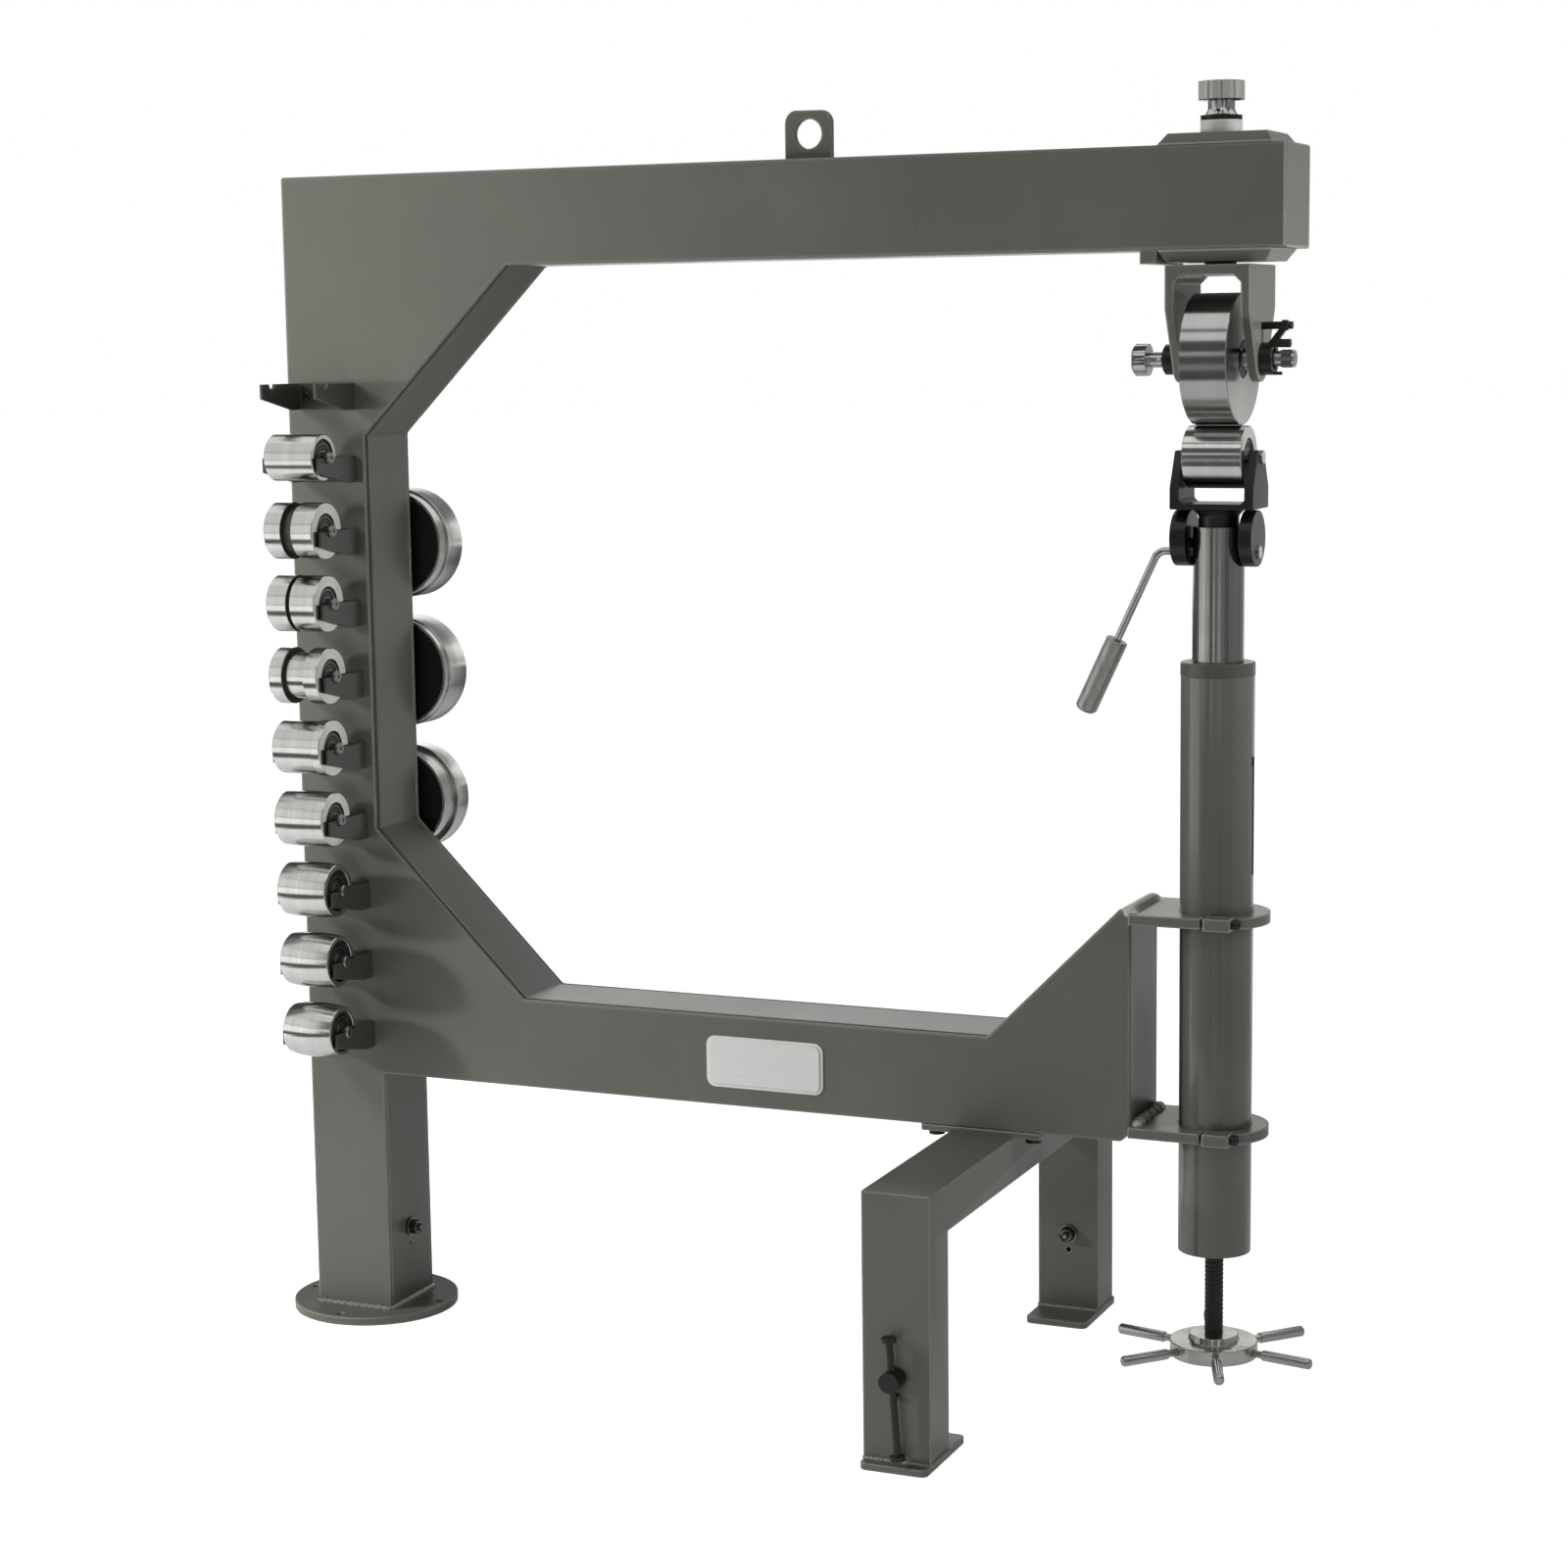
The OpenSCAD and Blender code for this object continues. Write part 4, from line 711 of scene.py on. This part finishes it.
def bead(mesh, start, end, radius, gap=1.1, flat=1.0):
    """A row of balls from start to end, in millimetres."""
    start, end = Vector(start), Vector(end)
    run = end - start
    count = max(2, int(run.length / (radius * gap)))
    lie = run.to_track_quat("X", "Z").to_matrix().to_4x4()
    for index in range(count):
        place = start + run * ((index + 0.5) / count)
        wobble = 1 + WOBBLE * ((index * 7) % 5 - 2) / 2
        size = Matrix.Diagonal((BALL_LENGTH * wobble, wobble, flat * wobble, 1))
        bmesh.ops.create_icosphere(mesh, subdivisions=2, radius=mm(radius),
                                   matrix=Matrix.Translation(mm(*place)) @ lie @ size)


def beads(name, runs, material, body):
    mesh = bmesh.new()
    for run in runs:
        bead(mesh, *run)
    print(name, "runs:", len(runs))
    return piece(name, mesh, material, body, sharp=60)


beads("foot_weld", [
    ((-51, -52, FOOT_TOP), (51, -52, FOOT_TOP), 5.5, 0.7),
    ((51, -52, FOOT_TOP), (51, 52, FOOT_TOP), 5.0, 0.7),
    ((51, 52, FOOT_TOP), (-51, 52, FOOT_TOP), 4.5, 0.7),
    ((-51, 52, FOOT_TOP), (-51, -52, FOOT_TOP), 4.5, 0.7)], weld_silver, "frame")
beads("clamp_welds", [
    ((991, -50, 322), (991, 50, 322), 7.5, 1.45),
    ((982, -47, 556), (982, 47, 556), 9, 0.15, 0.75)], clamp_weld_paint_lightened, "frame")
beads("leg_welds", [
    ((777, y, 8), (851, y, 8), 2.6, 0.8) for y in (-311, -257, 257, 311)]
    + [((x, y - 26, 8), (x, y + 26, 8), 2.6, 0.8)
       for x in (776, 852) for y in (-284, 284)], weld_paint_lightened, "frame")
beads("nose_welds", [
    ((1014, -50.8, 1260), (1135, -50.8, 1260), 1.6, 0.9),
    ((1014, -50.8, 1369), (1135, -50.8, 1369), 1.3, 0.9)], weld_paint_lightened, "frame")
beads("yoke_welds", [
    ((1033, -48, 1233), (1062, -48, 1234), 2.4, 0.8),
    ((1033, -20, 1231), (1033, 50, 1231), 3.2, 0.9),
    ((1101, -50, 1231), (1101, 50, 1231), 3.2, 0.9)], weld_paint_lightened, "wheel_yoke")

# %% [markdown]
# ## Anvils
# Each anvil is one turned piece of steel with a bearing pressed into both ends. The tread is
# flat, stepped, grooved or crowned. The ends are faced, with a sunk seat for the bearing, whose
# rings are dull steel and whose seal is black. A black ring on the seat's floor round the
# bearing, and a dark liner in some grooves, are painted shade. The frame leaves a gap of half a
# millimetre between the working anvil and the upper wheel, which would show as a white line, so
# both are drawn a little larger than the frame's own solids.

# %% Anvil helper
ANVIL_HALF = 32.5
OVERSIZE = 0.2
EDGE = 0.9
AXLE_R = 6.1


def anvil_profile(radius, crown, grooves, seat, bore):
    """The closed half section of an anvil, from the left bore round the tread to the right."""
    half, depth = ANVIL_HALF, 5
    tread = []
    count = 16 if crown else 1
    for step in range(count + 1):
        along = -half + EDGE + (2 * (half - EDGE)) * step / count
        tread.append((along, radius - crown * (along / half) ** 2))
    for start, width, deep in grooves:
        end = min(start + width, half)
        if start <= -half:
            tread = [(-half + EDGE, radius - deep), (end, radius - deep), (end + 0.6, radius),
                     (half - EDGE, radius)]
        else:
            tread = [tread[0], (start, radius), (start + 0.4, radius - deep),
                     (end - 0.4, radius - deep), (end, radius), tread[-1]]
    left, right = tread[0][1], tread[-1][1]
    return ([(depth - half, bore), (depth - half, seat), (0.6 - half, seat), (-half, seat + 0.6),
             (-half, left - EDGE)] + tread +
            [(half, right - EDGE), (half, seat + 0.6), (half - 0.6, seat), (half - depth, seat),
             (half - depth, bore)])


def race(radius, bore, place, side):
    """A bearing's inner and outer ring, seen from its open side."""
    depth = 4
    mid = (radius + bore) / 2
    return [
        [(place, bore), (place, bore + 3), (place - side * 0.6, bore + 3.4),
         (place - side * depth, bore + 3.4), (place - side * depth, bore)],
        [(place, radius - 2.4), (place, radius), (place - side * depth, radius),
         (place - side * depth, radius - 2.8), (place - side * 0.6, radius - 2.8)],
        [(place - side * 0.2, mid - 0.6), (place - side * 0.2, mid + 0.6),
         (place - side * depth, mid + 0.6), (place - side * depth, mid - 0.6)]]


def seal(radius, bore, place, side):
    return [[(place - side, bore + 3), (place - side, radius - 2.6),
             (place - side * 2, radius - 2.6), (place - side * 2, bore + 3)]]


def build_anvil(node, body, radius, crown, grooves, seat, bearing, bore, shade=()):
    at = centre(node)
    steel = turned_metal(f"{node} steel", "X", at, "d4d5d2", 0.2, mark=0.1)
    turned(f"{node}_body", [anvil_profile(radius, crown, grooves, seat, bore)], steel, body,
           "X", at, 128, stands_for=(node,))
    inset = ANVIL_HALF - 1.4
    rings = race(bearing, bore, inset, 1) + race(bearing, bore, -inset, -1)
    turned(f"{node}_bearings", rings, dull_steel, body, "X", at, 64)
    # A dark liner on a groove's floor and flank is painted shade in the groove.
    if shade:
        start, end, deep = shade
        inner, outer = radius - deep + 0.05, radius - 0.3
        liner = [(start + 0.05, inner), (end, inner), (end, inner + 0.1),
                 (start + 0.6, inner + 0.1), (start + 0.6, outer), (start + 0.05, outer)]
        turned(f"{node}_groove", [liner], groove_shade_paint, body, "X", at, 128)
    seals = seal(bearing, bore, inset, 1) + seal(bearing, bore, -inset, -1)
    # Where the seat is wider than the bearing, a black ring covers the seat's floor round it:
    # painted shade in that recess.
    if seat > bearing + 1:
        for side in (-1, 1):
            seals.append([(side * (ANVIL_HALF - 3), bearing), (side * (ANVIL_HALF - 3), seat),
                          (side * (ANVIL_HALF - 4.5), seat),
                          (side * (ANVIL_HALF - 4.5), bearing)])
    turned(f"{node}_seals", seals, black_satin, body, "X", at, 64)


# %% Stored and working anvils
groove_shade_paint = painted("groove shade", "30312e", "565753", 0.4, cloud=0.3)
ANVILS = (
    (27, 0, [], 21.5, ()), (33, 0, [(-10, 14.5, 5)], 20, (-10, 4, 5)),
    (33, 0, [(-6, 5.5, 4)], 20, (-6, -0.8, 4)), (33, 0, [(-15, 29, 6)], 20, (-15, -12, 6)),
    (33, 0, [(-33, 54, 1.8)], 20, ()), (33, 1.2, [], 20, ()), (33, 2, [], 24, ()),
    (33, 2.8, [], 24, ()), (33, 4, [], 23.5, ()))
for number, (radius, crown, grooves, seat, shade) in enumerate(ANVILS, 1):
    build_anvil(f"anvil_{number}", f"spare_anvil_{number}", radius, crown, grooves, seat,
                min(seat - 0.1, 17.6), AXLE_R, shade)
build_anvil("working_anvil", "anvil", 33 + OVERSIZE, 0, [], 20, 18.1, 7.1)
print("anvils built:", len(ANVILS) + 1)

# %% [markdown]
# ## Upper wheel
# The large wheel is ground on its tread and faced on its sides. Both sides show the bearing that
# the axle runs in.

# %% Upper wheel
WHEEL_HALF, WHEEL_R, WHEEL_SEAT, WHEEL_BORE = 25.5, 69 + OVERSIZE, 20, 8.4
wheel_steel = turned_metal("rolled wheel steel", "X", wheel_centre, "b8b9b6", 0.2, mark=0.1)
wheel_profile = [
    (2 - WHEEL_HALF, WHEEL_BORE), (2 - WHEEL_HALF, WHEEL_SEAT), (-WHEEL_HALF, WHEEL_SEAT + 0.6),
    (-WHEEL_HALF, WHEEL_R - EDGE), (EDGE - WHEEL_HALF, WHEEL_R), (WHEEL_HALF - EDGE, WHEEL_R),
    (WHEEL_HALF, WHEEL_R - EDGE), (WHEEL_HALF, WHEEL_SEAT + 0.6),
    (WHEEL_HALF - 2, WHEEL_SEAT), (WHEEL_HALF - 2, WHEEL_BORE)]
turned("upper_wheel_body", [wheel_profile], wheel_steel, "wheel", "X",
       wheel_centre, 160, stands_for=("upper_wheel",))
turned("upper_wheel_seals", [
    [(side * (WHEEL_HALF - 0.8), 12.4), (side * (WHEEL_HALF - 0.8), WHEEL_SEAT - 0.5),
     (side * (WHEEL_HALF - 2.5), WHEEL_SEAT - 0.5), (side * (WHEEL_HALF - 2.5), 12.4)]
    for side in (-1, 1)], black_satin, "wheel", "X", wheel_centre, 64)
print("upper wheel points in its half section:", len(wheel_profile))

# %% [markdown]
# ## Stored upper wheels
# Three spare wheels hang behind the column. Their sides are sunk, and a black disc on the floor
# of each is painted shade, so that only the turned rim shines.

# %% Stored wheels
STORED = ((66, 3), (67, 2), (65, 6))
for number, (radius, step) in enumerate(STORED, 1):
    node = f"spare_wheel_{number}"
    at = centre(node)
    softened(node, turned_metal(f"{node} steel", "Y", at, "cfd0cd", 0.22, mark=0.12),
             0.8)
    sunk = radius - step - 4.2
    # The black disc on each sunk floor is painted shade.
    turned(f"{node}_web", [
        [(side * 22.2, 13), (side * 22.2, sunk), (side * 21.2, sunk), (side * 21.2, 13)]
        for side in (-1, 1)], black_satin, f"stored_wheel_{number}", "Y", at, 96)
print("stored wheels:", len(STORED))

# %% [markdown]
# ## Upper wheel's axle
# The axle has a silver knob on the left with a waisted neck, and a knurled cap on the right. The
# node keeps its form with one turned finish. The cap's ridges and its end ring are laid over it.

# %% Axle, knob and lock
axle_steel = turned_metal("axle steel", "X", wheel_centre, "c2c3c0", 0.17, mark=0.08)
softened("wheel_axle", axle_steel, 0.5)
softened("axle_lock", black_oxide, 0.7)


def knurled(name, teeth, radius, depth, length, at, body):
    """A cap with fine ridges along X, as a toothed disc drawn out along its axis."""
    mesh = bmesh.new()
    rim = bmesh.ops.create_circle(mesh, cap_ends=True, segments=teeth * 2, radius=mm(radius))
    for index, vert in enumerate(rim["verts"]):
        if index % 2:
            bmesh.ops.scale(mesh, vec=(1 - depth / radius, 1 - depth / radius, 1), verts=[vert])
    drawn = bmesh.ops.extrude_face_region(mesh, geom=mesh.faces[:])["geom"]
    bmesh.ops.translate(mesh, vec=(0, 0, mm(length)),
                        verts=[v for v in drawn if isinstance(v, bmesh.types.BMVert)])
    bmesh.ops.recalc_face_normals(mesh, faces=mesh.faces)
    return piece(name, placed(mesh, "X", at), dull_steel, body)


knurled("axle_cap_knurl", 30, 9.4, 0.5, 11, wheel_centre + mm(67.5, 0, 0), "axle")
turned("axle_cap_end", [[(79.5, 5.2), (79.5, 7.6), (80.9, 7.2), (80.9, 5.4)]], bright_steel,
       "axle", "X", wheel_centre, 48)
print("axle finished with", axle_steel.name)

# %% [markdown]
# ## Draw knob
# The knob on the nose is cut from light metal: a scalloped head left matte, a bright fluted neck,
# and a black ring that bears on the collar.

# %% Draw knob
knob_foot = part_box("draw_knob")[0].z
ring_top = knob_foot + mm(4.7)
neck_top = knob_foot + mm(20.7)
softened("draw_knob", black_oxide, 0.4, ("Z", None, ring_top), "draw_knob_ring")
softened("draw_knob", bright_steel, 0.4, ("Z", ring_top, neck_top),
         "draw_knob_neck")
softened("draw_knob", blasted, 0.8, ("Z", neck_top, None), "draw_knob_head")
softened("top_collar", collar_metal, 0.8)
print("draw knob cut at", round(ring_top, 4), "and", round(neck_top, 4))

# %% [markdown]
# ## Post, cams, lever and screw
# The post is ground steel, with its marks along it. The cams are blacked discs with a fine turned
# edge. The lifting screw is black, with a thread that is a ridge spun round and up at the same
# time.

# %% Post and cams
dress(post_steel, "inner_post")
softened("cam_discs", black_oxide, 1.0)
softened("cam_shaft", lever_steel, 0.6)
softened("lower_yoke", black_satin, 1.2)
softened("lever_grip", grip_metal, 0.8)
dress(lever_steel, "lever_rod", "anvil_axle")
dress(black_satin, "frame_bolts", "guide_key", "spindle")
dress(dull_steel, "screw_bearing", "screw_nut", "storage_axles", "caster_fork_1",
      "caster_fork_2", "caster_fork_3")
print("post, cams, yoke and lever finished")

# %% Screw thread
SCREW_R, PITCH, TURNS = 9.8, 5, 19
TURN_STEPS = 32
SCREW_FOOT = mm(1067, 0, 86.7)
thread = bmesh.new()
ridge = [thread.verts.new(mm(SCREW_R + out, 0, along))
         for along, out in ((-1.7, -0.3), (-0.4, 0.5), (0.4, 0.5), (1.7, -0.3))]
ridge_edges = [thread.edges.new(pair) for pair in zip(ridge, ridge[1:])]
bmesh.ops.spin(thread, geom=ridge + ridge_edges, cent=(0, 0, 0), axis=(0, 0, 1),
               dvec=mm(0, 0, PITCH / TURN_STEPS), angle=2 * pi * TURNS,
               steps=TURN_STEPS * TURNS)
bmesh.ops.recalc_face_normals(thread, faces=thread.faces)
piece("screw_thread", placed(thread, "Z", SCREW_FOOT), screw_black, "kick_screw")
dress(screw_black, "lift_screw")
print("thread turns:", TURNS)

# %% [markdown]
# ## Kick wheel
# The operator turns this wheel with a foot, so it is bright and worn smooth: a turned disc with a
# low hub and six round spokes.

# %% Kick wheel
softened("kick_wheel", turned_metal("kick wheel steel", "Z", centre("kick_wheel"), "bcbdb9",
                                    0.2, mark=0.15), 1.0)
softened("kick_spokes", grained_metal("spoke steel", "b9bab6", 0.2, scale=700.0, mark=0.1),
         0.8)
print("kick wheel at", [round(value, 3) for value in centre("kick_wheel")])

# %% [markdown]
# ## Rack
# The brackets are dark painted plate with two bolts each. Every stored axle ends in a small turned
# collar with a centre hole.

# %% Brackets, bolts and axle ends
softened("rack_brackets", bracket_paint, 0.6)
RACK_X, RACK_Y, RACK_Z, RACK_PITCH = 2.5, -115, 368, 84.6
BRACKETS, STORED_ANVILS = 10, 9
BOLT_Y, BOLT_DROP = -55.4, 15
BOLT = [(0, 0), (0, 4.6), (1.2, 4.6), (2.4, 3.4), (2.6, 2.2), (1.4, 2.0), (1.4, 0)]
bolts = placed(spun(bmesh.new(), BOLT, 24), "-Y")
pattern = bolts.verts[:] + bolts.edges[:] + bolts.faces[:]
for row in range(BRACKETS):
    for across in (-25, 25):
        copied = bmesh.ops.duplicate(bolts, geom=pattern)["geom"]
        bmesh.ops.translate(
            bolts, vec=mm(RACK_X + across, BOLT_Y, RACK_Z + row * RACK_PITCH - BOLT_DROP),
            verts=[part for part in copied if isinstance(part, bmesh.types.BMVert)])
bmesh.ops.delete(bolts, geom=pattern, context="VERTS")
piece("rack_bolts", bolts, black_oxide, "frame")

for row in range(STORED_ANVILS):
    at = mm(RACK_X, RACK_Y, RACK_Z + row * RACK_PITCH)
    ends = [[(side * 38.2, 5.5), (side * 38.2, 7.3), (side * 41, 7.3), (side * 41.8, 6.4),
             (side * 42.8, 6.2), (side * 42.8, 2.6), (side * 42.1, 2.4), (side * 42.1, 5.5)]
            for side in (-1, 1)]
    turned(f"axle_end_{row + 1}", ends, stub_steel, "frame", "X", at, 32)
print("brackets:", BRACKETS, "stored axles:", STORED_ANVILS)

# %% [markdown]
# ## Name plate and casters
# The plate is plain light metal with a bevelled rim. The casters have rubber wheels and blacked
# cranks.

# %% Name plate and casters
softened("name_plate", plate_metal, 1.2)
CASTERS = 3
for number in range(1, CASTERS + 1):
    softened(f"caster_shaft_{number}", black_oxide, 0.8)
    softened(f"caster_wheel_{number}", rubber, 2.0)


def nut_rings(number, axis, at, side, half):
    """Worn edges of the washer, the nut and the shaft's tip, turned away from the leg."""
    rings = [[(side * (half + foot), inner), (side * (half + foot), outer),
              (side * (half + foot + 0.5), outer - 0.2), (side * (half + foot + 0.5), inner)]
             for foot, inner, outer in ((2.6, 9.6, 11.2), (10.7, 5.2, 6.8), (15.7, 0.3, 2.4))]
    turned(f"caster_rings_{number}", rings, stub_steel,
           frame["nodes"][f"caster_shaft_{number}"]["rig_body"], axis, at, 40)


CASTER_Z = 101
nut_rings(2, "Y", mm(814, 284, CASTER_Z), -1, 27)
nut_rings(3, "X", mm(0, 0, CASTER_Z), 1, 51)
print("casters finished:", CASTERS)
